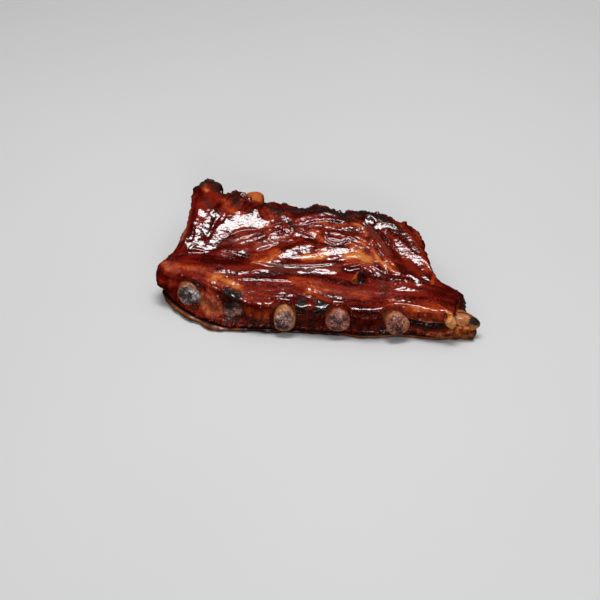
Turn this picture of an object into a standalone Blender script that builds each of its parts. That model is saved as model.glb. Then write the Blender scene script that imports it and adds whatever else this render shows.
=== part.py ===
"""A half rack of barbecue pork ribs: glazed meat with six curved rib bones running through it, on a skin.

The bones are set out first, as curved bars that fan out from left to right. The meat is then wrapped
round them: it starts as a block whose edges are rounded, and the block is bent to follow the sheet that the
bones lie in, thickened above and below it, and given its lips, folds, hollows and ragged edges. The skin
under the meat is a thin sheet bent in the same way.
"""

import math

import bmesh
import bpy
import numpy as np
from mathutils import Vector

MM = 0.001

# The blocks that the meat and the skin start as, how finely they are divided, and how round their edges are.
MEAT_BLOCK = {"size": (190 * MM, 88 * MM, 24 * MM), "cuts": (52, 23, 6), "round": 4.2 * MM}
SKIN_BLOCK = {"size": (190 * MM, 88 * MM, 2 * MM), "cuts": (38, 11, 1), "round": 0.9 * MM}
SKIN_THICKNESS = 2 * MM
SKIN_GAP = 0.5 * MM

# A bone's section: how many sides it has, how many lengths it is made of, how much it narrows halfway, how
# far its ends are rounded, and how loosely the meat holds it.
BONE_SIDES = 12
BONE_LENGTHS = 9
BONE_WAIST = 0.14
BONE_END = 1.6 * MM
BONE_GAP = 0.3 * MM

# Each rib, left to right: where its middle line meets the front of the meat, where it is halfway and where
# it meets the back, its half width and half height, and how far it stands out of the meat at the front and
# at the back (less than nothing where it ends inside), all in millimetres. Its front end is cut at a slant:
# by how many degrees it leans back and by how many it turns to the left.
RIBS = [
    {"front": (-75, -29, 13.5), "middle": (-76, 10, 21), "back": (-77, 48, 30),
     "half": (7.3, 7.3), "out": (5, 3), "cut": (22, 0)},
    {"front": (-47, -41, 10.8), "middle": (-48, 3, 18), "back": (-49, 44, 23),
     "half": (6.2, 5.8), "out": (1.5, 8), "cut": (15, 0)},
    {"front": (-16, -42, 12), "middle": (-21, -2, 17), "back": (-30, 36, 19),
     "half": (6.4, 6.6), "out": (6, -6), "cut": (26, 0)},
    {"front": (15, -42, 12.4), "middle": (7, -4, 16), "back": (-5, 35, 19),
     "half": (7.0, 5.8), "out": (5.5, -6), "cut": (26, 0)},
    {"front": (48, -41, 12), "middle": (34, -6, 16), "back": (21, 32, 18),
     "half": (6.9, 5.5), "out": (6, -6), "cut": (26, 8)},
    {"front": (82, -34.5, 11), "middle": (51, -1, 14), "back": (54, 23, 16),
     "half": (6.6, 4.2), "out": (4.5, 4), "cut": (30, 34)},
]
# The slab's left and right ends, given as the ribs are.
LEFT_END = {"front": (-98, -20, 12), "middle": (-86, 10, 19), "back": (-88, 45, 30)}
RIGHT_END = {"front": (89, -26, 11), "middle": (66, 2, 13), "back": (62, 20, 14)}

# Meat above the bones' middle line at the front, halfway and the back, for the left end, each rib and the
# right end, and how high the underside is lifted at the front and the back, in millimetres.
COVER = [(9, 7.5, 5), (10, 8.5, 8), (10, 10, 7), (10.5, 11, 10), (11, 12, 10.5), (10.5, 12, 12), (9, 10, 8),
         (6, 9, 6)]
UNDERSIDE = [(2.5, 8), (1, 8), (0, 3), (0, 0), (0, 0), (0, 0), (0, 0), (1, 1)]
UNDER_ARCH = 4 * MM
RIB_BULGE = 1.5 * MM

# How far parts of the edge reach beyond the line through the rib ends, in millimetres, by rib number: 0 is
# the left end, 1 the first rib and 7 the right end. The meat's front has a lip on top and a wall below it.
EDGE_REACH = {
    "lip": [(0, 2), (0.5, 3), (1, 1), (1.5, 0), (2, 0.5), (2.5, 4), (3, 3), (3.5, 5), (4, 3), (4.5, 4.5),
            (5, 1.5), (5.5, 3), (6, 0), (7, 0)],
    "wall": [(0, 4), (0.5, 4), (1, 0), (1.5, 3), (2, 0), (2.5, 1), (3, 0), (3.5, 1), (4, 0), (4.5, 1), (5, 0),
             (5.5, 4), (6, 0), (6.5, 1), (7, 0)],
    "skin": [(0, 0), (0.4, 6), (0.75, 11), (1, 13), (1.4, 12.5), (2, 9), (2.5, 7.5), (3, 7), (3.5, 7), (4, 7),
             (4.5, 8.5), (5, 6), (5.5, 5), (6, 7.4), (6.5, 6), (7, 3)],
    "back": [(0, 1), (0.6, 1.5), (1, 3), (1.25, 0), (1.45, -9), (1.65, 0), (2, -1), (2.4, -2), (2.8, 3),
             (3.2, 2), (3.6, 0), (3.9, 5), (4.2, 4), (4.5, -1), (4.8, 4), (5.4, 4), (6, 4), (6.5, 3), (7, 0)],
}
SKIN_RIM = 2 * MM
# The rib numbers between which the foot of the front wall is a thick pad.
PAD_FROM = (5.45, 5.75)
PAD_TO = (6.5, 6.9)
# How far the right end is drawn in, by how far back: 0 is the front and 1 the back.
RIGHT_DRAWN_IN = [(0, 0), (0.1, 0.5), (0.22, 2.5), (0.36, 1.5), (0.55, 0), (1, 0)]

# Folds and hollows of the top, in millimetres: the height of each, its width on the front side and on the
# back side, and the points that its line runs through.
FOLDS = [
    ("left terrace", (0.9, 2.6, 6.4), [(-104, -8), (-80, -7), (-62, -8), (-46, -12), (-34, -18)]),
    ("basin foot", (-2.5, 8.4, 16), [(-76, -5), (-60, -3), (-44, -8), (-32, -14)]),
    ("left strip", (4, 16, 12.7), [(-82, -10), (-81, 15), (-79, 44)]),
    ("left bank", (2, 4.2, 6.2), [(-77, 6), (-76, 16), (-75, 30)]),
    ("left lobe", (2.2, 16, 16), [(-66, 0), (-52, 13), (-32, 21)]),
    ("lobe crest", (4.1, 8.9, 14.7), [(-64, 23), (-48, 27), (-30, 27), (-16, 20)]),
    ("groove", (-0.9, 2.5, 16), [(-42, -17), (-20, -17.5), (0, -17), (16, -16)]),
    ("middle streak", (1, 2.6, 6.6), [(-32, -13), (-14, -10), (2, -5), (20, -3)]),
    ("middle shelf", (2, 3, 16), [(-24, 16), (-14, 11), (0, 9), (16, 8)]),
    ("front swell", (-1.7, 16, 16), [(-40, -36), (0, -38), (40, -38)]),
    ("arched fold", (-0.9, 16, 6.1), [(10, -19), (20, -15), (28, -13.5), (36, -15), (46, -20)]),
    ("upper crest", (2.6, 7.1, 10.7), [(-18, 22), (-4, 27), (14, 27)]),
    ("curl pocket", (-1.4, 7.3, 2.8), [(0, 14), (10, 14), (20, 17)]),
    ("curl rim", (1.4, 2.6, 3.7), [(-4, 12), (6, 7.5), (13, 7), (23, 10)]),
    ("back swelling", (2.7, 4.1, 9), [(20, 28), (32, 28), (44, 22)]),
    ("rim ridge", (1.6, 12.7, 3), [(34, 28), (47, 14), (54, 3), (61, -10), (68, -22)]),
    ("right crest", (2.8, 12.1, 9.1), [(42, 28), (50, 20), (62, 10)]),
    ("diagonal ridge", (0.8, 2.8, 2.8), [(20, 22), (34, 4), (46, -12), (52, -24)]),
    ("block step", (1.2, 2.6, 12), [(38, -26), (50, -28), (62, -26), (76, -22)]),
]
# A three-cornered hole that pierces the glaze: its place, its size at the top and at the bottom, its depth.
HOLE = {"at": (28, -22, 18), "radius": (5.2, 1.6), "depth": 12}

MEAT_COLOUR = (0.16, 0.025, 0.015, 1.0)
SKIN_COLOUR = (0.30, 0.09, 0.03, 1.0)
BONE_COLOUR = (0.35, 0.19, 0.09, 1.0)


def clear_scene():
    """Removes whatever the scene starts with."""
    for old in list(bpy.data.objects):
        bpy.data.objects.remove(old)


def new_collection(name):
    made = bpy.data.collections.new(name)
    bpy.context.scene.collection.children.link(made)
    return made


def material(name, colour, roughness):
    made = bpy.data.materials.new(name)
    made.use_nodes = True
    shader = made.node_tree.nodes["Principled BSDF"]
    shader.inputs["Base Color"].default_value = colour
    shader.inputs["Roughness"].default_value = roughness
    shader.inputs["Metallic"].default_value = 0.0
    return made


def smooth_between(t, knots, values):
    """A smooth curve through values at knots, read at t: cubic pieces with matching slopes."""
    knots = np.asarray(knots, float)
    values = np.asarray(values, float)
    slopes = np.gradient(values, knots, axis=0)
    t = np.clip(t, knots[0], knots[-1])
    i = np.clip(np.searchsorted(knots, t, side="right") - 1, 0, len(knots) - 2)
    span = knots[i + 1] - knots[i]
    x = (t - knots[i]) / span
    if values.ndim > 1:
        span = span[..., None]
        x = x[..., None]
    rise = x * x * (3 - 2 * x)
    start = x * (1 - x) * (1 - x) * span * slopes[i]
    end = x * x * (x - 1) * span * slopes[i + 1]
    return values[i] * (1 - rise) + values[i + 1] * rise + start + end


def step_up(x, low, high):
    """0 below low, 1 above high, and smooth between."""
    share = np.clip((x - low) / (high - low), 0, 1)
    return share * share * (3 - 2 * share)


def across(t, front, middle, back):
    """The curve from front over middle to back, with t from 0 to 1."""
    return front * (1 - t) * (1 - 2 * t) + middle * 4 * t * (1 - t) + back * t * (2 * t - 1)


STATIONS = [LEFT_END, *RIBS, RIGHT_END]
STATION_NUMBERS = np.arange(len(STATIONS))
FRONTS = np.array([s["front"] for s in STATIONS]) * MM
MIDDLES = np.array([s["middle"] for s in STATIONS]) * MM
BACKS = np.array([s["back"] for s in STATIONS]) * MM
PLACES = np.insert(np.cumsum(np.linalg.norm(np.diff(FRONTS + BACKS, axis=0), axis=1)), 0, 0)
PLACES = PLACES / PLACES[-1]


def reach_of(pairs, where):
    """A length in millimetres given by pairs of place and length, read at where, in metres."""
    places, lengths = zip(*pairs)
    return smooth_between(where, places, lengths) * MM


def fold_height(x, y, fold):
    """The height that one fold adds at x, y. It fades towards both of its ends."""
    _, sizes, through = fold
    height, front_width, back_width = (size * MM for size in sizes)
    points = np.array(through, float) * MM
    line = smooth_between(np.linspace(0, 1, 25), np.linspace(0, 1, len(points)), points)
    nearest = np.full(x.shape, np.inf)
    side = np.zeros(x.shape)
    along = np.zeros(x.shape)
    for k in range(len(line) - 1):
        step = line[k + 1] - line[k]
        share = np.clip(((x - line[k, 0]) * step[0] + (y - line[k, 1]) * step[1]) / (step @ step), 0, 1)
        dx = x - line[k, 0] - share * step[0]
        dy = y - line[k, 1] - share * step[1]
        distance = np.hypot(dx, dy)
        closer = distance < nearest
        nearest = np.where(closer, distance, nearest)
        side = np.where(closer, step[0] * dy - step[1] * dx, side)
        along = np.where(closer, (k + share) / (len(line) - 1), along)
    width = np.where(side < 0, front_width, back_width)
    fade = step_up(along, 0, 0.25) * step_up(1 - along, 0, 0.25)
    return height * np.exp(-((nearest / width) ** 2)) * fade


def swells(x, y, seed, length):
    """Low uneven swells of about the given length, the same on each run."""
    draw = np.random.default_rng(seed)
    total = np.zeros(np.shape(x))
    for _ in range(7):
        turn = draw.uniform(0, 2 * math.pi)
        phase = draw.uniform(0, 2 * math.pi)
        rate = draw.uniform(0.7, 1.6) * 2 * math.pi / length
        total += np.sin((x * math.cos(turn) + y * math.sin(turn)) * rate + phase)
    return total / 7


def sheet(a, b, front_reach, back_reach):
    """The curved sheet that the bones' middle lines lie in, stretched at its front and back edges."""
    front = smooth_between(a, PLACES, FRONTS)
    middle = smooth_between(a, PLACES, MIDDLES)
    back = smooth_between(a, PLACES, BACKS)
    length = np.linalg.norm(back - front, axis=-1)
    t = b - front_reach * (1 - b) ** 6 / length + back_reach * b**6 / length
    return across(t[..., None], front, middle, back)


def underside(a, b, number):
    """The height of the whole slab's underside, hollow between its edges and fuller under each rib."""
    lift = smooth_between(a, PLACES, np.array(UNDERSIDE) * MM)
    between = np.where((number > 1) & (number < len(RIBS)), 0.5 - 0.5 * np.cos(2 * math.pi * number), 0)
    return lift[..., 0] * (1 - b) + lift[..., 1] * b + 4 * b * (1 - b) * (UNDER_ARCH + RIB_BULGE * between)


def drawn_in(a, b):
    return a - reach_of(RIGHT_DRAWN_IN, b) / MEAT_BLOCK["size"][0] * step_up(a, 0.8, 1)


def meat_point(a, b, c):
    """Where the meat block's point a, b, c goes: a runs left to right, b front to back and c up, 0 to 1."""
    a = drawn_in(a, b)
    number = smooth_between(a, PLACES, STATION_NUMBERS)
    pad = step_up(number, *PAD_FROM) * (1 - step_up(number, *PAD_TO))
    low = 1 - step_up(c, 0.08 + 0.28 * pad, 0.38 + 0.14 * pad)
    high = step_up(c, 0.62, 0.86)
    foot = reach_of(EDGE_REACH["skin"], number) - SKIN_RIM
    wall = reach_of(EDGE_REACH["wall"], number)
    lip = reach_of(EDGE_REACH["lip"], number)
    ragged = 1.2 * MM * swells(number, c, 3, 0.9)
    back_reach = reach_of(EDGE_REACH["back"], number) + ragged
    place = sheet(a, b, foot * low + wall * (1 - low) * (1 - high) + lip * high, back_reach)
    x = place[..., 0]
    y = place[..., 1]
    bottom = underside(a, b, number) + SKIN_THICKNESS + SKIN_GAP
    cover = smooth_between(a, PLACES, np.array(COVER) * MM)
    top = place[..., 2] + across(b, cover[..., 0], cover[..., 1], cover[..., 2])
    for fold in FOLDS:
        top = top + fold_height(x, y, fold)
    top = top + 0.6 * MM * swells(x, y, 5, 34 * MM)
    return np.stack([x, y, bottom + (top - bottom) * c], axis=-1)


def skin_point(a, b, c):
    """Where the skin block's point a, b, c goes. The skin stops a little short of the meat at both ends."""
    a = drawn_in(0.01 + 0.98 * a, b)
    number = smooth_between(a, PLACES, STATION_NUMBERS)
    front_reach = reach_of(EDGE_REACH["skin"], number)
    back_reach = reach_of(EDGE_REACH["back"], number) - SKIN_RIM
    place = sheet(a, b, front_reach, back_reach)
    return np.stack([place[..., 0], place[..., 1], underside(a, b, number) + SKIN_THICKNESS * c], axis=-1)


def rounded_block(block):
    """A box with rounded edges, divided evenly, as a new mesh whose points run from 0 to 1."""
    made = bmesh.new()
    bmesh.ops.create_cube(made, size=1.0)
    bmesh.ops.translate(made, verts=made.verts, vec=(0.5, 0.5, 0.5))
    for direction, count in enumerate(block["cuts"]):
        along = [e for e in made.edges if abs(e.verts[0].co[direction] - e.verts[1].co[direction]) > 1e-6]
        bmesh.ops.subdivide_edges(made, edges=along, cuts=count, use_grid_fill=True)
    size = np.array(block["size"])
    points = np.array([v.co for v in made.verts]) * size
    core = np.clip(points, block["round"], size - block["round"])
    out = points - core
    length = np.linalg.norm(out, axis=1, keepdims=True)
    points = core + out / np.maximum(length, 1e-9) * np.minimum(length, block["round"])
    for v, p in zip(made.verts, points / size):
        v.co = p
    return made


def mesh_object(name, made, collection, finish):
    mesh = bpy.data.meshes.new(name)
    made.normal_update()
    made.to_mesh(mesh)
    made.free()
    mesh.shade_smooth()
    mesh.materials.append(finish)
    obj = bpy.data.objects.new(name, mesh)
    collection.objects.link(obj)
    return obj


def bent_block(name, block, bend, collection, finish):
    """A rounded block with each of its points moved by bend."""
    made = rounded_block(block)
    unit = np.array([v.co for v in made.verts])
    for v, p in zip(made.verts, bend(unit[:, 0], unit[:, 1], unit[:, 2])):
        v.co = p
    return mesh_object(name, made, collection, finish)


def bone_rings(rib, length):
    """Where the bone's rings lie along its curve, 0 at the meat's front and 1 at its back."""
    start = -rib["out"][0] * MM / length
    end = 1 + rib["out"][1] * MM / length
    round_part = BONE_END / length
    return [start, *np.linspace(start + round_part, end - round_part, BONE_LENGTHS - 1), end]


def make_bone(name, rib, collection, finish):
    """One rib: a round bar drawn along the rib's curve, with its ends rounded off a little."""
    front, middle, back = (Vector(rib[k]) * MM for k in ("front", "middle", "back"))
    rings = bone_rings(rib, (back - front).length)
    return bar(name, rib, rings, 0.0, 0.93, rib["cut"], collection, finish)


def make_channel(name, rib, collection, finish):
    """The room that the meat leaves for a rib, open wherever the rib stands out."""
    front, middle, back = (Vector(rib[k]) * MM for k in ("front", "middle", "back"))
    length = (back - front).length
    rings = bone_rings(rib, length)
    rings[0] -= 10 * MM / length
    rings[-1] += (10 * MM if rib["out"][1] > 0 else BONE_GAP) / length
    return bar(name, rib, rings, BONE_GAP, 1.0, (0, 0), collection, finish)


def bar(name, rib, rings, grow, end_scale, cut_at, collection, finish):
    """A bar with the rib's curve and uneven oval section, widened by grow, its end rings scaled by end_scale
    and its front end cut at a slant."""
    front, middle, back = (Vector(rib[k]) * MM for k in ("front", "middle", "back"))
    lean, turn = (math.tan(math.radians(a)) for a in cut_at)
    speed = (4 * middle - 3 * front - back).length
    made = bmesh.new()
    bmesh.ops.create_cone(made, cap_ends=True, segments=BONE_SIDES, radius1=1.0, radius2=1.0, depth=1.0)
    long_edges = [e for e in made.edges if abs(e.verts[0].co.z - e.verts[1].co.z) > 0.5]
    bmesh.ops.subdivide_edges(made, edges=long_edges, cuts=len(rings) - 2, use_grid_fill=True)
    for v in made.verts:
        ring = round((v.co.z + 0.5) * (len(rings) - 1))
        slant = v.co.y * lean * rib["half"][1] + v.co.x * turn * rib["half"][0]
        t = rings[ring] + slant * MM / speed * step_up(0.34 - rings[ring] + rings[0], 0, 0.3)
        scale = end_scale if ring in (0, len(rings) - 1) else 1.0
        scale *= 1 - BONE_WAIST * math.sin(math.pi * min(max(t, 0), 1))
        angle = math.atan2(v.co.y, v.co.x)
        scale *= 1 + 0.04 * math.sin(2 * angle + rib["front"][0])
        scale += 0.03 * math.sin(3 * angle + rib["front"][0])
        centre = across(t, front, middle, back)
        ahead = (across(t + 0.01, front, middle, back) - centre).normalized()
        side = Vector((0, 0, 1)).cross(ahead).normalized()
        up = ahead.cross(side)
        half_width = rib["half"][0] * MM * scale + grow
        half_height = rib["half"][1] * MM * scale + grow
        v.co = centre + side * (v.co.x * half_width) + up * (v.co.y * half_height)
    return mesh_object(name, made, collection, finish)


def make_hole_cutter(collection, finish):
    """The three-cornered hole as a wedge that narrows downwards, one corner pointing to the back."""
    made = bmesh.new()
    top, foot = (size * MM for size in HOLE["radius"])
    depth = HOLE["depth"] * MM
    bmesh.ops.create_cone(made, cap_ends=True, segments=3, radius1=foot, radius2=top, depth=depth)
    bmesh.ops.translate(made, verts=made.verts, vec=Vector(HOLE["at"]) * MM + Vector((0, 0, depth / 2)))
    return mesh_object("hole_cutter", made, collection, finish)


def cut(meat, cutter):
    cutter.hide_render = True
    cutter.display_type = "WIRE"
    modifier = meat.modifiers.new("cut by " + cutter.name, "BOOLEAN")
    modifier.operation = "DIFFERENCE"
    modifier.solver = "EXACT"
    modifier.object = cutter


def centre_on_origin(solids, cutters):
    """Moves everything together: the middle of the solids' footprint to the origin, and down to z = 0."""
    points = np.array([v.co for obj in solids for v in obj.data.vertices])
    low = points.min(axis=0)
    high = points.max(axis=0)
    shift = Vector((-(low[0] + high[0]) / 2, -(low[1] + high[1]) / 2, -low[2]))
    for obj in (*solids, *cutters):
        for v in obj.data.vertices:
            v.co += shift


def main():
    clear_scene()
    parts = new_collection("barbecue ribs")
    cutters = new_collection("cutters")
    meat_finish = material("glazed meat", MEAT_COLOUR, 0.25)
    bone_finish = material("roasted bone", BONE_COLOUR, 0.6)
    skin_finish = material("roasted skin", SKIN_COLOUR, 0.4)
    meat = bent_block("meat", MEAT_BLOCK, meat_point, parts, meat_finish)
    bent_block("underside_skin", SKIN_BLOCK, skin_point, parts, skin_finish)
    for number, rib in enumerate(RIBS, 1):
        make_bone(f"rib_{number}", rib, parts, bone_finish)
        cut(meat, make_channel(f"channel_{number}", rib, cutters, bone_finish))
    cut(meat, make_hole_cutter(cutters, bone_finish))
    centre_on_origin(list(parts.objects), list(cutters.objects))


main()
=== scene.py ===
"""The looks of the barbecue ribs: glazed meat, bones and skin as fine meshes in the solids' own form.

Lengths are in millimetres until the last step of each mesh. Places on the slab are given in the plane of the
bones' fan, before the whole is moved by SHIFT to sit over its footprint's middle, as in the solids' source.
"""

import math

import bpy
import numpy as np
from mathutils import Matrix, Vector


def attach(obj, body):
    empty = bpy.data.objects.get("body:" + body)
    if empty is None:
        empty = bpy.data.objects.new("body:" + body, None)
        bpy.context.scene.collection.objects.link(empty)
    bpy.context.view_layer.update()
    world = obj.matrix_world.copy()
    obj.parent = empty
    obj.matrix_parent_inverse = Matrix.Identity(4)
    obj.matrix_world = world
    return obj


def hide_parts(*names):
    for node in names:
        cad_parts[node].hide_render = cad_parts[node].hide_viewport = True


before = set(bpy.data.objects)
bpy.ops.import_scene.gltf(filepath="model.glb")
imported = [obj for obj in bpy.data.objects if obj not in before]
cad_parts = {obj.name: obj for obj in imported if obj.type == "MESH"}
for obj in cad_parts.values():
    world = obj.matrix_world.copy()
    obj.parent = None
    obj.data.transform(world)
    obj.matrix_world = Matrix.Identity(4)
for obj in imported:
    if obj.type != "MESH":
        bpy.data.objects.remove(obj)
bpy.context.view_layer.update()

MM = 0.001
SHIFT = np.array([0.74, -0.98, 0.17])

# The solids' form, repeated: blocks, ribs, ends, cover, underside, reach of the edges and folds.
BLOCK = np.array([190.0, 88.0, 24.0])
SKIN_BLOCK = np.array([190.0, 88.0, 2.0])
SKIN_ROUND = 0.9
SKIN_THICKNESS = 2.0
SKIN_GAP = 0.5
SKIN_RIM = 2.0
BONE_WAIST = 0.14
BONE_FACE = 0.93
BONE_END = 1.6
RIBS = [
    {"front": (-75, -29, 13.5), "middle": (-76, 10, 21), "back": (-77, 48, 30),
     "half": (7.3, 7.3), "out": (5, 3), "cut": (22, 0)},
    {"front": (-47, -41, 10.8), "middle": (-48, 3, 18), "back": (-49, 44, 23),
     "half": (6.2, 5.8), "out": (1.5, 8), "cut": (15, 0)},
    {"front": (-16, -42, 12), "middle": (-21, -2, 17), "back": (-30, 36, 19),
     "half": (6.4, 6.6), "out": (6, -6), "cut": (26, 0)},
    {"front": (15, -42, 12.4), "middle": (7, -4, 16), "back": (-5, 35, 19),
     "half": (7.0, 5.8), "out": (5.5, -6), "cut": (26, 0)},
    {"front": (48, -41, 12), "middle": (34, -6, 16), "back": (21, 32, 18),
     "half": (6.9, 5.5), "out": (6, -6), "cut": (26, 8)},
    {"front": (82, -34.5, 11), "middle": (51, -1, 14), "back": (54, 23, 16),
     "half": (6.6, 4.2), "out": (4.5, 4), "cut": (30, 34)},
]
LEFT_END = {"front": (-98, -20, 12), "middle": (-86, 10, 19), "back": (-88, 45, 30)}
RIGHT_END = {"front": (89, -26, 11), "middle": (66, 2, 13), "back": (62, 20, 14)}
COVER = [(9, 7.5, 5), (10, 8.5, 8), (10, 10, 7), (10.5, 11, 10), (11, 12, 10.5), (10.5, 12, 12), (9, 10, 8),
         (6, 9, 6)]
UNDERSIDE = [(2.5, 8), (1, 8), (0, 3), (0, 0), (0, 0), (0, 0), (0, 0), (1, 1)]
UNDER_ARCH = 4.0
RIB_BULGE = 1.5
EDGE_REACH = {
    "lip": [(0, 2), (0.5, 3), (1, 1), (1.5, 0), (2, 0.5), (2.5, 4), (3, 3), (3.5, 5), (4, 3), (4.5, 4.5),
            (5, 1.5), (5.5, 3), (6, 0), (7, 0)],
    "wall": [(0, 4), (0.5, 4), (1, 0), (1.5, 3), (2, 0), (2.5, 1), (3, 0), (3.5, 1), (4, 0), (4.5, 1), (5, 0),
             (5.5, 4), (6, 0), (6.5, 1), (7, 0)],
    "skin": [(0, 0), (0.4, 6), (0.75, 11), (1, 13), (1.4, 12.5), (2, 9), (2.5, 7.5), (3, 7), (3.5, 7), (4, 7),
             (4.5, 8.5), (5, 6), (5.5, 5), (6, 7.4), (6.5, 6), (7, 3)],
    "back": [(0, 1), (0.6, 1.5), (1, 3), (1.25, 0), (1.45, -9), (1.65, 0), (2, -1), (2.4, -2), (2.8, 3),
             (3.2, 2), (3.6, 0), (3.9, 5), (4.2, 4), (4.5, -1), (4.8, 4), (5.4, 4), (6, 4), (6.5, 3), (7, 0)],
}
PAD_FROM = (5.45, 5.75)
PAD_TO = (6.5, 6.9)
RIGHT_DRAWN_IN = [(0, 0), (0.1, 0.5), (0.22, 2.5), (0.36, 1.5), (0.55, 0), (1, 0)]
FOLDS = [
    ("left terrace", (0.9, 2.6, 6.4), [(-104, -8), (-80, -7), (-62, -8), (-46, -12), (-34, -18)]),
    ("basin foot", (-2.5, 8.4, 16), [(-76, -5), (-60, -3), (-44, -8), (-32, -14)]),
    ("left strip", (4, 16, 12.7), [(-82, -10), (-81, 15), (-79, 44)]),
    ("left bank", (2, 4.2, 6.2), [(-77, 6), (-76, 16), (-75, 30)]),
    ("left lobe", (2.2, 16, 16), [(-66, 0), (-52, 13), (-32, 21)]),
    ("lobe crest", (4.1, 8.9, 14.7), [(-64, 23), (-48, 27), (-30, 27), (-16, 20)]),
    ("groove", (-0.9, 2.5, 16), [(-42, -17), (-20, -17.5), (0, -17), (16, -16)]),
    ("middle streak", (1, 2.6, 6.6), [(-32, -13), (-14, -10), (2, -5), (20, -3)]),
    ("middle shelf", (2, 3, 16), [(-24, 16), (-14, 11), (0, 9), (16, 8)]),
    ("front swell", (-1.7, 16, 16), [(-40, -36), (0, -38), (40, -38)]),
    ("arched fold", (-0.9, 16, 6.1), [(10, -19), (20, -15), (28, -13.5), (36, -15), (46, -20)]),
    ("upper crest", (2.6, 7.1, 10.7), [(-18, 22), (-4, 27), (14, 27)]),
    ("curl pocket", (-1.4, 7.3, 2.8), [(0, 14), (10, 14), (20, 17)]),
    ("curl rim", (1.4, 2.6, 3.7), [(-4, 12), (6, 7.5), (13, 7), (23, 10)]),
    ("back swelling", (2.7, 4.1, 9), [(20, 28), (32, 28), (44, 22)]),
    ("rim ridge", (1.6, 12.7, 3), [(34, 28), (47, 14), (54, 3), (61, -10), (68, -22)]),
    ("right crest", (2.8, 12.1, 9.1), [(42, 28), (50, 20), (62, 10)]),
    ("diagonal ridge", (0.8, 2.8, 2.8), [(20, 22), (34, 4), (46, -12), (52, -24)]),
    ("block step", (1.2, 2.6, 12), [(38, -26), (50, -28), (62, -26), (76, -22)]),
]

# The plan of the top that the relief and the colours are painted on: its low and high corners and its step.
PLAN_LOW = (-108.0, -56.0)
PLAN_HIGH = (98.0, 62.0)
PLAN_STEP = 0.4

# Slopes of the glaze on top: how many degrees each patch leans to the front and to the right, its width and
# the points of its line. Later patches lie over earlier ones. The calm ones give way to the others.
CALM_LEANS = [
    (4, 4, 8, [(-96, -17.5), (-74.5, -17), (-50, -18), (-34.5, -17.5)]),
    (7, 0, 8, [(16, -7), (26, -7.5), (38, -8)]),
    (4, 0, 7, [(-24.5, 5), (-12, 5.5), (-1, 2.5)]),
    (4, 0, 8, [(-79.5, 30), (-75.5, 39)]),
    (6, 2, 8, [(-63, 29), (-56.5, 22.5), (-49, 20.5)]),
    (5, 0, 6, [(-17.5, 16), (-3.5, 18), (12, 21)]),
    (5, 2, 6, [(-34, 21.5), (-31.5, 12.5)]),
    (6, 0, 6, [(30, 15.5), (40, 18)]),
    (5, 0, 6, [(44, -13.5), (50, -20)]),
    (8, 4, 7, [(-30, -17.5), (-8, -17), (12.5, -14.5)]),
    (10, 5, 10, [(-58, 1.5), (-48.5, 3.5), (-40, 8)]),
    (10, 4, 4, [(-46, -30.5), (-36, -35.5), (-24, -38)]),
]
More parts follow.
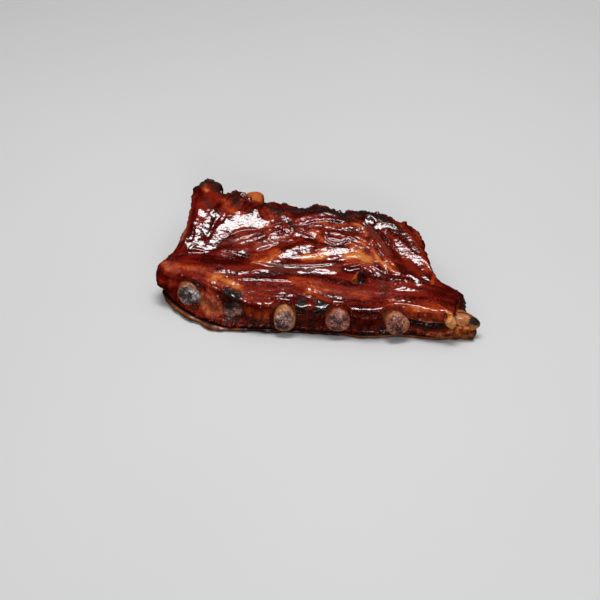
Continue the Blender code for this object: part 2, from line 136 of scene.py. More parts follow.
LEANS = [
    # the front
    (9, 2, 7, [(-87.5, -22), (-74, -23.5), (-62, -27)]),
    (25, -3, 4.5, [(-91, -23), (-87.5, -24.5), (-84, -26.5)]),
    (7, 0, 16, [(-66, -31.5), (-44, -37), (-20.5, -37.5), (10, -38), (44, -38)]),
    (7, 0, 6, [(-50, -29), (-30.5, -28), (-8.5, -27.5), (14, -28.5), (42, -30)]),
    (6, 0, 8, [(20, -28), (32, -29), (44, -30)]),
    (6, 0, 15, [(46, -38), (66, -36.5), (83.5, -34)]),
    # the basin at the left and the lobe beside it
    (20, 30, 4, [(-71, -0.5), (-69.5, 7.5), (-67, 20.5)]),
    (20, -14, 4, [(-67.5, 1), (-65.5, 9.5), (-63, 18)]),
    (16, 10, 6, [(-74, 24), (-74, 12), (-74, 2)]),
    (26, 12, 4.6, [(-74.5, 17), (-72.5, 15)]),
    (25, 12, 2, [(-69, 17), (-67, 18.5)]),
    (26, 12, 3, [(-73, 11.5), (-72.5, 9.5)]),
    (26, 12, 2.6, [(-72.5, 6.5), (-71.5, 4.5)]),
    (28, 11, 1.8, [(-77, 6), (-77, 1), (-76.5, -3)]),
    (25, 11, 2.8, [(-81, -4), (-76, -4.5), (-71, -5.5), (-66.5, -3)]),
    (26, 10, 5.5, [(-65.5, -1), (-63.5, 4), (-60.5, 10.5), (-58, 13)]),
    (25, 8, 7, [(-58, 13.5), (-51, 15), (-44, 16), (-39.5, 16)]),
    (27, 8, 3, [(-45, 18), (-43.5, 22)]),
    (24, 8, 2, [(-45, -4.5), (-42, -2.5)]),
    (9, 5, 6, [(-40.5, -1.5), (-33.5, 1.5), (-27.5, 5)]),
    # behind the middle
    (24, 6, 3, [(-31, 7), (-26, 7)]),
    (24, 6, 2.6, [(-25, 8), (-21.5, 8.5), (-15.5, 10.5), (-9, 9.5)]),
    (14, 5, 7, [(-26, 15), (-21, 12.5), (-14, 13)]),
    (24, 7, 1.8, [(-14, 13), (-10, 11), (-5, 8.5)]),
    (20, 4, 2.2, [(-16.5, 20.5), (-8.5, 24), (0.5, 27)]),
    (20, 4, 1.4, [(-7.5, 17), (0.5, 16.5), (6.5, 15.5)]),
    # middle streaks
    (24, 5, 4.5, [(-19.5, -7.5), (-15, -5.5), (-11, -2.5), (-8.5, 0)]),
    (24, 5, 1.8, [(-23, -10), (-12.5, -9), (-2.5, -7)]),
    (24, 3, 6, [(4, -4), (9, -3), (14.5, -3)]),
    # the curl
    (25, 3, 1.8, [(2, 9.5), (3, 6), (7, 4.5), (13, 6), (17, 8)]),
    (20, 3, 1.6, [(4.5, 11), (8.5, 10), (12.5, 9.5)]),
    # the right
    (25, 0, 2.6, [(33, 20.5), (38, 21.5), (43, 20.5)]),
    (14, -1, 3, [(50, 15), (54, 10.5), (60, 5)]),
    (23, -1, 3.5, [(46, 9), (52, 3), (58, -1.5), (62, -5.5)]),
    (27, 2, 1.8, [(54, -17), (58, -20), (60, -23)]),
    # the second ridge, the arched fold and the front
    (20, 8, 2.4, [(-60, -24.5), (-52, -23)]),
    (23, 8, 1.6, [(-46, -24), (-40.5, -23.5), (-34.5, -22)]),
    (23, 3, 1.5, [(-11, -19.5), (-0.5, -19), (10, -19)]),
    (24, 1, 1.6, [(16.5, -15), (21.5, -14), (28.5, -12), (33.5, -13), (40, -16)]),
]
# Patches that lean more than GLARE_FROM mirror the light and are smoother. The relief that makes the slopes
# fades over LEAN_FADE, and the calm ones count for CALM_HOLD of their lean.
GLARE_FROM = 19
LEAN_FADE = 35.0
LEAN_ROUNDS = 40
CALM_HOLD = 0.35

# Creases: the height of each, how wide it falls off to the front and to the back, and its line.
CREASES = [
    (0.9, 0.7, 6, [(-90, -10), (-72.5, -7.5), (-57, -6.5), (-43, -9), (-36, -14)]),
    (0.7, 0.8, 4, [(-44.5, -12.5), (-24, -15), (0, -14), (14, -9.5)]),
    (-0.6, 0.8, 0.8, [(-61, 2), (-53, 9), (-45.5, 11.5), (-38, 12)]),
    (0.5, 0.7, 0.9, [(-56, 1), (-47.5, 5.5), (-38, 11)]),
    (0.5, 0.7, 0.9, [(-51, -0.5), (-42, 4), (-35, 8.5)]),
    (0.6, 0.7, 2, [(-48, -28), (-30.5, -27), (-10.5, -27)]),
    (-0.8, 0.8, 1, [(-40.5, -6.5), (-32.5, -1.5), (-24.5, 3.5)]),
    (0.9, 0.7, 1.2, [(15.5, -15), (21.5, -13.5), (28.5, -11.5), (35, -12.5), (42, -17)]),
    (0.4, 1.2, 3, [(44, -27.5), (56, -27), (67, -25.5)]),
    (0.8, 0.7, 0.8, [(1.5, 10.5), (2, 6.5), (6, 4), (12, 4.5), (18, 8)]),
    (0.9, 0.8, 1, [(52, 12.5), (58, 6), (64, -1.5), (68, -10.5), (67, -19)]),
    (-0.8, 0.8, 0.8, [(22, 24), (28, 18.5), (32, 8), (38, -1)]),
    (-0.7, 0.8, 0.8, [(36, 19.5), (42, 9), (48, 0.5), (54, -11)]),
    (0.8, 0.8, 0.8, [(-24.5, 18), (-19, 13.5), (-11.5, 11), (-4, 8.5)]),
    (0.7, 0.7, 0.9, [(-28, 8), (-24.5, 9.5), (-24.5, 14.5)]),
    (-0.8, 1, 1, [(-65, 32.5), (-61, 22), (-64, 11.5)]),
    (-2.4, 4, 4, [(-58, 38), (-48, 41), (-38, 40)]),
    (0.7, 0.8, 1.2, [(-55, 20), (-51.5, 25), (-52.5, 33)]),
    (-0.9, 1, 1, [(-19, 14.5), (-7.5, 20), (6, 22), (16, 18.5)]),
    (-0.7, 0.8, 1, [(-5.5, -32.5), (3.5, -35.5), (12, -40)]),
    (0.6, 0.8, 1, [(-10.5, -34.5), (0, -38.5), (5.5, -41.5)]),
    (0.2, 1.2, 2, [(20, -31.5), (32, -31.5), (42, -32)]),
]

# The three-cornered hole: its corners, its depth and where its orange left wall ends and the painted shade
# inside it begins.
HOLE_CORNERS = [(21.5, -25.5), (31.0, -25.0), (26.0, -14.0)]
HOLE_DEPTH = 7.0
HOLE_SHADE_FROM = 23.4

# Strands on top: the seed, number, length, width and height of each kind. The streaks are colour alone.
BROAD_STRANDS = (11, 900, 26, 1.7, 0.8)
NARROW_STRANDS = (12, 3200, 14, 0.75, 0.42)
NARROW_STREAKS = (13, 1500, 20, 1.1, 0.8)
BROAD_STREAKS = (14, 500, 30, 2.4, 0.9)

# Lines that the strands of meat and sauce follow.
FLOW = [
    [(-82.5, -7), (-81, 9), (-80, 41)],
    [(-75, -3.5), (-73, 8), (-71, 31)],
    [(-63, 0.5), (-53, 8), (-38, 14)],
    [(-51, 0.5), (-38, 6.5), (-27.5, 12.5)],
    [(-89.5, -12), (-61, -8), (-38.5, -11)],
    [(-87.5, -19), (-59.5, -19.5), (-36.5, -17.5)],
    [(-72, -23), (-54, -30), (-36, -39.5)],
    [(-86, -24.5), (-74, -28)],
    [(-45.5, -25.5), (-21, -21), (-0.5, -21), (15.5, -24)],
    [(-24.5, -34.5), (-0.5, -33.5), (30, -36.5)],
    [(-38.5, -11), (-26, -3.5), (-12, 5.5)],
    [(-24.5, -12), (-8.5, -9), (5.5, -6), (20, -4)],
    [(-33, 29), (-24.5, 16.5), (-13.5, 11), (0, 5.5)],
    [(-17.5, 26.5), (-1.5, 28.5), (12, 27.5)],
    [(-17.5, 16), (-1.5, 17.5), (10, 19.5), (18, 21)],
    [(-57.5, 16), (-53.5, 22), (-50.5, 32.5)],
    [(-46, 18), (-42.5, 23.5)],
    [(20, 23.5), (28, 14.5), (36, 1), (44, -11.5)],
    [(16, 9.5), (26, 4.5), (34, -5.5)],
    [(34, 23.5), (44, 10.5), (52, 1.5), (58, -11.5)],
    [(52, 13.5), (60, 4), (66, -6.5), (68, -17.5)],
    [(44, -22), (58, -22), (68, -23)],
    [(45, -33.5), (62, -32.5), (82, -36.5)],
]
# Where the strands are fine and thick: more than 1 is ragged, less is smooth.
STRANDED = [
    (1.4, 12, [(22, 16), (32, 5), (40, -7.5)]),
    (0.5, 9, [(-22.5, 13), (-7.5, 14), (8.5, 18)]),
    (0.8, 8, [(44, 15), (54, 3), (60, -13.5)]),
    (0.45, 9, [(-52, -29.5), (-36, -35.5), (-16.5, -36.5)]),
    (0.15, 9, [(-20.5, -28), (10, -29), (40, -30.5)]),
    (0.15, 9, [(-10.5, -36.5), (20, -37.5), (44, -37.5)]),
    (0.4, 9, [(-56, 1), (-46, 4), (-34, 7)]),
    (0.25, 6, [(-89, -18.5), (-66, -17), (-42.5, -15)]),
    (0.2, 8, [(50, -35.5), (66, -33.5), (83.5, -35.5)]),
    (0.5, 6, [(-70.5, 1), (-66.5, 15.5)]),
    (0.35, 7, [(-26, 6), (-10, 3)]),
    (0.5, 7, [(-58.5, 12), (-44, 16)]),
]

# Colour patches on top: strength, width and line.
AMBER = [
    (0.5, 5, [(-85.5, -21), (-74, -21.5), (-62, -24)]),
    (0.75, 5, [(-60, -27), (-52, -29.5), (-45, -34.5)]),
    (0.3, 6, [(-62, -31), (-48, -37), (-38, -42)]),
    (0.25, 9, [(-72, -24), (-56, -32)]),
    (0.75, 6, [(-38.5, -12), (-31, -12), (-25.5, -8.5)]),
    (0.45, 5, [(-33.5, -7.5), (-27, -4.5)]),
    (0.95, 5, [(-9.5, -7.5), (-1.5, -7.5), (3.5, -4.5)]),
    (1.0, 7, [(17, -6), (24, -6), (31, -7)]),
    (0.7, 1.8, [(22, -25), (23, -21), (24.5, -17)]),
    (0.8, 6, [(30, -7.5), (36, -7), (41, -11)]),
    (0.7, 6, [(19, 2), (24, 7.5), (24, 1.5)]),
    (0.6, 3, [(29, 7), (33, -0.5), (36, -5)]),
    (0.65, 4, [(17, 23), (21, 19.5), (26, 13.5)]),
    (0.45, 4, [(-4.5, 22), (4.5, 17.5), (12, 20)]),
    (0.5, 5, [(-7.5, 14), (-2, 9), (0, 4.5)]),
    (0.7, 4, [(44, -11.5), (47, -17)]),
    (0.5, 3, [(68, -3), (69, -12), (67, -21)]),
    (0.6, 7, [(-13.5, -25.5), (-2.5, -28), (7, -32.5)]),
    (0.5, 5, [(-2.5, -35), (7.5, -40)]),
    (0.45, 7, [(14, -34.5), (30, -36.5)]),
    (0.5, 8, [(46, -36.5), (58, -38.5), (70, -37)]),
    (0.45, 6, [(60, -41.5), (80, -40.5)]),
    (0.8, 4, [(-80.5, 44), (-77, 38)]),
    (0.4, 6, [(-66, 31.5), (-59, 23.5), (-53.5, 21)]),
    (0.45, 6, [(-35, 20), (-32.5, 13), (-30, 6.5)]),
    (0.6, 4, [(-93, -18.5), (-89.5, -23.5)]),
    (0.6, 5, [(56, 20.5), (60, 14.5)]),
    (0.35, 5, [(60, 0), (64, -7), (60, -16.5)]),
    (0.4, 4, [(-53, 9), (-44.5, 3.5), (-38.5, 0)]),
]
CHAR = [
    (1.0, 6, [(-86, 44), (-80, 46), (-74, 45.5), (-69.5, 40.5)]),
    (0.8, 4, [(-65.5, 38), (-57.5, 40), (-51.5, 39)]),
    (0.9, 4, [(-39, 32.5), (-29, 28.5), (-19.5, 31)]),
    (1.0, 5, [(-19.5, 30), (-7.5, 33), (4.5, 30.5), (12, 30.5)]),
    (1.0, 5, [(12, 31.5), (20, 33), (28, 29.5), (36, 27)]),
    (0.7, 3, [(36, 27), (44, 23), (50, 17.5)]),
    (0.7, 4, [(-77.5, 30), (-71.5, 22)]),
    (0.8, 4, [(-60.5, 37), (-55.5, 28.5)]),
    (0.75, 4, [(-33, 27.5), (-25, 21.5), (-17, 13.5)]),
    (0.8, 4, [(-9.5, 35), (4.5, 32.5)]),
    (0.8, 4, [(8, 28), (18, 25.5)]),
    (0.8, 4, [(20, 34), (28, 30)]),
    (0.6, 4, [(40, 20.5), (46, 17.5)]),
    (0.5, 5, [(38, -21), (41, -35.5)]),
    (0.45, 4, [(6, -34), (12, -39)]),
    (0.7, 4, [(87.5, -28.5), (86, -36.5)]),
]
# Pale pink patches, most of them a painted sheen where the glaze would mirror light dully.
BLUSH_AND_SHEEN = [
    (0.8, 4, [(-89, 38), (-87.5, 26), (-86.5, 12), (-86, 0)]),
    (0.22, 5, [(-38.5, -2.5), (-30.5, 3.5), (-24, 6.5)]),
    (0.2, 5, [(26, 19.5), (34, 10), (40, 0)]),
    (0.18, 7, [(-28.5, -17.5), (-8, -17), (11.5, -15)]),
    (0.16, 6, [(-55, 2), (-46.5, 2)]),
    (0.22, 5, [(-93, -17), (-89, -21.5), (-84, -25)]),
]
# Where the glaze is thin and dull, and where the surface is finely wrinkled.
SATIN = [
    (0.9, 12, [(-58, 2.5), (-48.5, 4), (-40, 8)]),
    (0.3, 13, [(-66, -32.5), (-40, -36.5), (-10.5, -35.5), (20, -35.5), (44, -36.5)]),
    (0.15, 10, [(46, -35.5), (64, -34.5), (83.5, -34)]),
    (0.3, 9, [(-30.5, -28.5), (-0.5, -28), (30, -30)]),
    (0.6, 5, [(-62, -24.5), (-50, -23)]),
    (0.8, 10, [(-15.5, 22.5), (-3.5, 27), (12, 29.5)]),
    (0.5, 9, [(-14, 14.5), (-4, 17), (8, 19)]),
    (0.7, 8, [(50, 15.5), (56, 8.5)]),
    (0.7, 12, [(18, 10), (28, 0.5), (38, -9)]),
    (0.5, 8, [(-40.5, -1.5), (-30.5, 2.5), (-22, 6.5)]),
    (0.5, 8, [(-12.5, -6), (-0.5, -6.5)]),
    (1.0, 6, [(-88, 44), (-69.5, 43), (-49.5, 38.5), (-29, 31), (0.5, 32.5), (30, 29.5), (44, 23)]),
]
GRAIN = [
    (0.9, 20, [(22, 14), (30, 4.5), (40, -7.5)]),
    (0.9, 16, [(-24.5, 14.5), (-9.5, 15.5), (6.5, 17.5)]),
    (0.8, 14, [(46, 17.5), (56, 4.5), (62, -12.5)]),
    (0.8, 9, [(-94, -14), (-92, -20)]),
    (0.5, 12, [(-54, -30), (-38, -35.5), (-20.5, -36.5)]),
    (0.25, 12, [(-0.5, -28), (20, -31.5), (44, -33.5)]),
    (0.6, 12, [(-57, 4.5), (-44.5, 5.5), (-34, 8)]),
    (0.7, 10, [(-30, 8), (-23, 11), (-25, 19.5)]),
    (0.6, 14, [(-61, 26), (-50.5, 25.5), (-37, 24.5)]),
    (0.5, 10, [(-66, -24), (-50, -25), (-34.5, -22)]),
    (0.5, 12, [(-24.5, -9.5), (-8.5, -4), (10, -3.5)]),
    (0.6, 7, [(38, -18), (50, -21), (60, -22)]),
]


def smooth_between(t, knots, values):
    """A smooth curve through values at knots, read at t: cubic pieces with matching slopes."""
    knots = np.asarray(knots, float)
    values = np.asarray(values, float)
    slopes = np.gradient(values, knots, axis=0)
    t = np.clip(t, knots[0], knots[-1])
    i = np.clip(np.searchsorted(knots, t, side="right") - 1, 0, len(knots) - 2)
    span = knots[i + 1] - knots[i]
    x = (t - knots[i]) / span
    if values.ndim > 1:
        span = span[..., None]
        x = x[..., None]
    rise = x * x * (3 - 2 * x)
    start = x * (1 - x) * (1 - x) * span * slopes[i]
    end = x * x * (x - 1) * span * slopes[i + 1]
    return values[i] * (1 - rise) + values[i + 1] * rise + start + end


def step_up(x, low, high):
    """0 below low, 1 above high, and smooth between."""
    share = np.clip((x - low) / (high - low), 0, 1)
    return share * share * (3 - 2 * share)


def across(t, front, middle, back):
    """The curve from front over middle to back, with t from 0 to 1."""
    return front * (1 - t) * (1 - 2 * t) + middle * 4 * t * (1 - t) + back * t * (2 * t - 1)


STATIONS = [LEFT_END, *RIBS, RIGHT_END]
NUMBERS = np.arange(len(STATIONS))
FRONTS = np.array([s["front"] for s in STATIONS], float)
MIDDLES = np.array([s["middle"] for s in STATIONS], float)
BACKS = np.array([s["back"] for s in STATIONS], float)
PLACES = np.insert(np.cumsum(np.linalg.norm(np.diff(FRONTS + BACKS, axis=0), axis=1)), 0, 0)
PLACES = PLACES / PLACES[-1]


# Noise

def scattered(cells, seed):
    """One even random number from -1 to 1 for each whole-number cell."""
    mixed = cells[..., 0] * 374761393 + cells[..., 1] * 668265263 + cells[..., 2] * 2147483587 + seed * 974711
    mixed = ((mixed ^ (mixed >> 13)) * 1274126177) & 0x7FFFFFFF
    mixed = mixed ^ (mixed >> 15)
    return (mixed & 0xFFFF) / 32767.5 - 1


def noise(points, size, seed):
    """Smooth noise, from -1 to 1, with lumps of about the given size."""
    at = points / size + 500.0
    cell = np.floor(at).astype(np.int64)
    share = at - cell
    share = share * share * (3 - 2 * share)
    total = np.zeros(points.shape[:-1])
    for corner in range(8):
        bits = np.array([corner & 1, corner >> 1 & 1, corner >> 2 & 1])
        total += np.where(bits, share, 1 - share).prod(axis=-1) * scattered(cell + bits, seed)
    return total


def rough(points, size, seed, layers=3):
    """Noise with finer noise on it, about -1 to 1."""
    total = 0
    for layer in range(layers):
        total = total + noise(points, size / 2**layer, seed + 17 * layer) / 1.8**layer
    return total / 1.6


# The plan

PLAN_X = np.arange(PLAN_LOW[0], PLAN_HIGH[0], PLAN_STEP)
PLAN_Y = np.arange(PLAN_LOW[1], PLAN_HIGH[1], PLAN_STEP)
GRID_X, GRID_Y = np.meshgrid(PLAN_X, PLAN_Y, indexing="ij")


def line_through(points):
    """A smooth line through the points, five steps from each to the next."""
    points = np.array(points, float)
    steps = 5 * (len(points) - 1)
    return smooth_between(np.linspace(0, 1, steps + 1), np.linspace(0, 1, len(points)), points)


def beside(points, margin):
    """The plan near a line: its window, and each cell's distance, side and share along the line."""
    line = line_through(points)
    low = line.min(axis=0) - margin
    high = line.max(axis=0) + margin
    window = (slice(*np.searchsorted(PLAN_X, (low[0], high[0]))),
              slice(*np.searchsorted(PLAN_Y, (low[1], high[1]))))
    x = GRID_X[window]
    y = GRID_Y[window]
    nearest = np.full(x.shape, np.inf)
    side = np.zeros(x.shape)
    along = np.zeros(x.shape)
    for k in range(len(line) - 1):
        step = line[k + 1] - line[k]
        share = np.clip(((x - line[k, 0]) * step[0] + (y - line[k, 1]) * step[1]) / (step @ step), 0, 1)
        dx = x - line[k, 0] - share * step[0]
        dy = y - line[k, 1] - share * step[1]
        distance = np.hypot(dx, dy)
        closer = distance < nearest
        nearest = np.where(closer, distance, nearest)
        side = np.where(closer, step[0] * dy - step[1] * dx, side)
        along = np.where(closer, (k + share) / (len(line) - 1), along)
    return window, nearest, side, along


def patch(points, width, ragged, seed):
    """A soft, ragged stroke of the given width along a line, as a window and a mask from 0 to 1."""
    window, nearest, _, _ = beside(points, width * 1.2 + 2)
    spots = np.stack([GRID_X[window], GRID_Y[window], np.zeros(nearest.shape)], axis=-1)
    nearest = nearest + ragged * min(width, 5) * rough(spots, max(width * 0.6, 1.5), seed)
    return window, step_up(1.5 - nearest / (width / 2), 0.1, 0.9)


def painted(strokes, ragged, seed):
    """Soft strokes laid over each other with ragged edges."""
    clear = np.ones(GRID_X.shape)
    for k, (strength, width, points) in enumerate(strokes):
        window, nearest, _, _ = beside(points, width * 1.6)
        spots = np.stack([GRID_X[window], GRID_Y[window] * 1.8, np.zeros(nearest.shape)], axis=-1)
        nearest = nearest + ragged * width * rough(spots, max(width * 0.7, 2), seed + k)
        clear[window] *= 1 - strength * np.exp(-((np.maximum(nearest, 0) / (0.58 * width)) ** 2))
    return 1 - clear


def levelled(relief):
    """The slopes of the top with this relief on it, in x and in y, on the plan and 0 outside the slab."""
    a, b = np.meshgrid(np.linspace(0, 1, 640), np.linspace(0, 1, 320), indexing="ij")
    place, _ = meat_point(a, b, np.ones(a.shape), relief)
    x_a, x_b = np.gradient(place[..., 0])
    y_a, y_b = np.gradient(place[..., 1])
    z_a, z_b = np.gradient(place[..., 2])
    area = np.maximum(x_a * y_b - x_b * y_a, 0.01)
    row = np.clip(np.rint((place[..., 0] - PLAN_X[0]) / PLAN_STEP), 0, len(PLAN_X) - 1)
    column = np.clip(np.rint((place[..., 1] - PLAN_Y[0]) / PLAN_STEP), 0, len(PLAN_Y) - 1)
    cell = (row * len(PLAN_Y) + column).astype(int).ravel()
    count = np.maximum(np.bincount(cell, minlength=GRID_X.size), 1)
    slopes = []
    for rise in ((z_a * y_b - z_b * y_a) / area, (z_b * x_a - z_a * x_b) / area):
        total = np.bincount(cell, np.clip(rise, -2, 2).ravel(), minlength=GRID_X.size)
        slopes.append((total / count).reshape(GRID_X.shape))
    return slopes


def leaning_relief(relief):
    """What gives the top the slopes in LEANS when added to relief, drawn back to nothing over LEAN_FADE."""
    has_x, has_y = levelled(relief)
    wanted_x = np.zeros(GRID_X.shape)
    wanted_y = np.zeros(GRID_X.shape)
    weight = np.zeros(GRID_X.shape)
    for k, (front, right, width, points) in enumerate(CALM_LEANS + LEANS):
        hold = CALM_HOLD if k < len(CALM_LEANS) else 1.0
        window, mask = patch(points, width, 0.6 if hold == 1 else 0.25, 40 + k)
        change_x = -math.tan(math.radians(right)) - has_x[window]
        change_y = math.tan(math.radians(front)) - has_y[window]
        wanted_x[window] += (hold * change_x - wanted_x[window]) * mask
        wanted_y[window] += (hold * change_y - wanted_y[window]) * mask
        weight[window] += (hold - weight[window]) * mask
    shape = (1024, 512)
    fx = np.fft.fftfreq(shape[0], PLAN_STEP)[:, None] * 2 * math.pi
    fy = np.fft.fftfreq(shape[1], PLAN_STEP)[None, :] * 2 * math.pi
    heights = np.zeros(GRID_X.shape)
    for _ in range(LEAN_ROUNDS):
        free_x, free_y = np.gradient(heights, PLAN_STEP)
        pull = (fx * np.fft.fft2(wanted_x + (1 - weight) * free_x, shape)
                + fy * np.fft.fft2(wanted_y + (1 - weight) * free_y, shape))
        heights = np.fft.ifft2(-1j * pull / (fx**2 + fy**2 + 1 / LEAN_FADE**2)).real
        heights = heights[: GRID_X.shape[0], : GRID_X.shape[1]]
    return heights


def ridges(rows, tail):
    """Ridges and grooves on the plan, from rows of height, fall-off to the front and to the back, and line.
    They fade over the share tail of their length at both ends."""
    total = np.zeros(GRID_X.shape)
    for height, front, back, points in rows:
        window, nearest, side, along = beside(points, 3 * max(front, back))
        width = np.where(side < 0, front, back)
        fade = step_up(along, 0, tail) * step_up(1 - along, 0, tail)
        total[window] += height * np.exp(-((nearest / width) ** 2)) * fade
    return total


def flow_directions():
    """The strands' direction on the plan, from the lines in FLOW, nearer ones weighing more."""
    double_x = np.zeros(GRID_X.shape)
    double_y = np.zeros(GRID_X.shape)
    for points in FLOW:
        line = line_through(points)
        for start, end in zip(line[:-1], line[1:]):
            turn = 2 * math.atan2(end[1] - start[1], end[0] - start[0])
            middle = (start + end) / 2
            weight = 1 / ((GRID_X - middle[0]) ** 2 + (GRID_Y - middle[1]) ** 2 + 6) ** 2
            double_x += weight * math.cos(turn)
            double_y += weight * math.sin(turn)
    turn = np.arctan2(double_y, double_x) / 2
    return np.cos(turn), np.sin(turn)


def strand_relief(directions, seed, count, length, width, height):
    """Many short ridges and grooves that follow the flow: each is a row of soft dots along a traced line."""
    draw = np.random.default_rng(seed)
    spacing = 0.7 * width
    steps = int(length / spacing)
    x = draw.uniform(PLAN_X[0] + 8, PLAN_X[-1] - 8, count)
    y = draw.uniform(PLAN_Y[0] + 8, PLAN_Y[-1] - 8, count)
    size = draw.uniform(-1, 1, count)
    size = np.sign(size) * (0.35 + 0.65 * np.abs(size)) * height
    head_x = np.ones(count)
    head_y = np.zeros(count)
    total = np.zeros(GRID_X.size)
    reach = int(math.ceil(2.1 * width / PLAN_STEP))
    for k in range(steps):
        i = np.clip(((x - PLAN_X[0]) / PLAN_STEP).round().astype(int), reach, len(PLAN_X) - reach - 1)
        j = np.clip(((y - PLAN_Y[0]) / PLAN_STEP).round().astype(int), reach, len(PLAN_Y) - reach - 1)
        taper = math.sin(math.pi * (k + 0.5) / steps) * spacing / (width * math.sqrt(math.pi))
        for di in range(-reach, reach + 1):
            for dj in range(-reach, reach + 1):
                gap = (PLAN_X[i + di] - x) ** 2 + (PLAN_Y[j + dj] - y) ** 2
                spot = (i + di) * len(PLAN_Y) + j + dj
                total += np.bincount(spot, size * taper * np.exp(-gap / width**2), minlength=total.size)
        new_x = directions[0][i, j]
        new_y = directions[1][i, j]
        same = np.where(new_x * head_x + new_y * head_y < 0, -1, 1)
        head_x = new_x * same
        head_y = new_y * same
        x = x + head_x * spacing
        y = y + head_y * spacing
    return total.reshape(GRID_X.shape)


def hole_inside():
    """How far inside the three-cornered hole each place lies."""
    inside = np.full(GRID_X.shape, np.inf)
    for (x0, y0), (x1, y1) in zip(HOLE_CORNERS, HOLE_CORNERS[1:] + HOLE_CORNERS[:1]):
        length = math.hypot(x1 - x0, y1 - y0)
        inside = np.minimum(inside, ((x1 - x0) * (GRID_Y - y0) - (y1 - y0) * (GRID_X - x0)) / length)
    return inside


def read_plan(plan, x, y):
    """The plan's value at x, y, between its cells."""
    i = np.clip((x - PLAN_X[0]) / PLAN_STEP, 0, len(PLAN_X) - 1.001)
    j = np.clip((y - PLAN_Y[0]) / PLAN_STEP, 0, len(PLAN_Y) - 1.001)
    i0 = i.astype(int)
    j0 = j.astype(int)
    u = i - i0
    v = j - j0
    low = plan[i0, j0] * (1 - v) + plan[i0, j0 + 1] * v
    high = plan[i0 + 1, j0] * (1 - v) + plan[i0 + 1, j0 + 1] * v
    return low * (1 - u) + high * u


# The solids' form

def reach_of(pairs, where):
    """The smooth value at where, from pairs of place and value."""
    places, lengths = zip(*pairs)
    return smooth_between(where, places, lengths)


def swells(x, y, seed, length):
    """Broad, soft waves of about the given length, from -1 to 1."""
    draw = np.random.default_rng(seed)
    total = np.zeros(np.shape(x))
    for _ in range(7):
        turn = draw.uniform(0, 2 * math.pi)
        phase = draw.uniform(0, 2 * math.pi)
        rate = draw.uniform(0.7, 1.6) * 2 * math.pi / length
        total += np.sin((x * math.cos(turn) + y * math.sin(turn)) * rate + phase)
    return total / 7


def fold_relief():
    """The folds of the solids on the plan."""
    folds = ridges([(*shape, points) for _, shape, points in FOLDS], 0.25)
    return folds + 0.6 * swells(GRID_X, GRID_Y, 5, 34)


def sheet(a, b, front_reach, back_reach):
    """The curved sheet that the bones' middle lines lie in, stretched at its front and back edges."""
    front = smooth_between(a, PLACES, FRONTS)
    middle = smooth_between(a, PLACES, MIDDLES)
    back = smooth_between(a, PLACES, BACKS)
    length = np.linalg.norm(back - front, axis=-1)
    t = b - front_reach * (1 - b) ** 6 / length + back_reach * b**6 / length
    return across(t[..., None], front, middle, back)


def underside(a, b, number):
    """The height of the arched underside."""
    lift = smooth_between(a, PLACES, UNDERSIDE)
    between = np.where((number > 1) & (number < len(RIBS)), 0.5 - 0.5 * np.cos(2 * math.pi * number), 0)
    return lift[..., 0] * (1 - b) + lift[..., 1] * b + 4 * b * (1 - b) * (UNDER_ARCH + RIB_BULGE * between)


def drawn_in(a, b):
    """The share along the slab, with the right end drawn in."""
    return a - reach_of(RIGHT_DRAWN_IN, b) / BLOCK[0] * step_up(a, 0.8, 1)


def meat_point(a, b, c, relief):
    """Where the meat block's point a, b, c goes: a runs left to right, b front to back and c up, 0 to 1."""
    a = drawn_in(a, b)
    number = smooth_between(a, PLACES, NUMBERS)
    pad = step_up(number, *PAD_FROM) * (1 - step_up(number, *PAD_TO))
    low = 1 - step_up(c, 0.08 + 0.28 * pad, 0.38 + 0.14 * pad)
    high = step_up(c, 0.62, 0.86)
    foot = reach_of(EDGE_REACH["skin"], number) - SKIN_RIM
    wall = reach_of(EDGE_REACH["wall"], number)
    lip = reach_of(EDGE_REACH["lip"], number)
    back_reach = reach_of(EDGE_REACH["back"], number) + 1.2 * swells(number, c, 3, 0.9)
    place = sheet(a, b, foot * low + wall * (1 - low) * (1 - high) + lip * high, back_reach)
    x = place[..., 0]
    y = place[..., 1]
    bottom = underside(a, b, number) + SKIN_THICKNESS + SKIN_GAP
    cover = smooth_between(a, PLACES, COVER)
    top = place[..., 2] + across(b, cover[..., 0], cover[..., 1], cover[..., 2]) + read_plan(relief, x, y)
    return np.stack([x, y, bottom + (top - bottom) * c], axis=-1), number


def skin_point(a, b, c):
    """Where the skin block's point a, b, c goes."""
    a = drawn_in(0.01 + 0.98 * a, b)
    number = smooth_between(a, PLACES, NUMBERS)
    tucked = 2.2 * step_up(number, 1.5, 2.3) + 0.9 * swells(number, 0 * number, 9, 0.35)
    front_reach = reach_of(EDGE_REACH["skin"], number) - tucked
    place = sheet(a, b, front_reach, reach_of(EDGE_REACH["back"], number) - SKIN_RIM)
    low = underside(a, b, number)
    return np.stack([place[..., 0], place[..., 1], low + SKIN_THICKNESS * c], axis=-1), number


# Meshes

def box_ring(front, top, back, bottom):
    """Points round a unit square, from its front low corner up the front, over the top and back below."""
    up = [(0, k / front) for k in range(front)]
    over = [(k / top, 1) for k in range(top)]
    down = [(1, 1 - k / back) for k in range(back)]
    under = [(1 - k / bottom, 0) for k in range(bottom)]
    return np.array(up + over + down + under, float)


def block_surface(ring, along, caps):
    """Points of a whole box, 0 to 1 each way, as rings from its left end's middle to its right end's middle,
    and the faces between them."""
    shrunk = np.linspace(0, 1, caps + 2)[1:-1]
    rings = [np.column_stack([np.zeros(len(ring)), 0.5 + (ring - 0.5) * s]) for s in shrunk]
    rings += [np.column_stack([np.full(len(ring), a), ring]) for a in np.linspace(0, 1, along)]
    rings += [np.column_stack([np.ones(len(ring)), 0.5 + (ring - 0.5) * s]) for s in shrunk[::-1]]
    points = np.vstack([*rings, [(0, 0.5, 0.5), (1, 0.5, 0.5)]])
    return points, ring_faces(len(rings), len(ring))


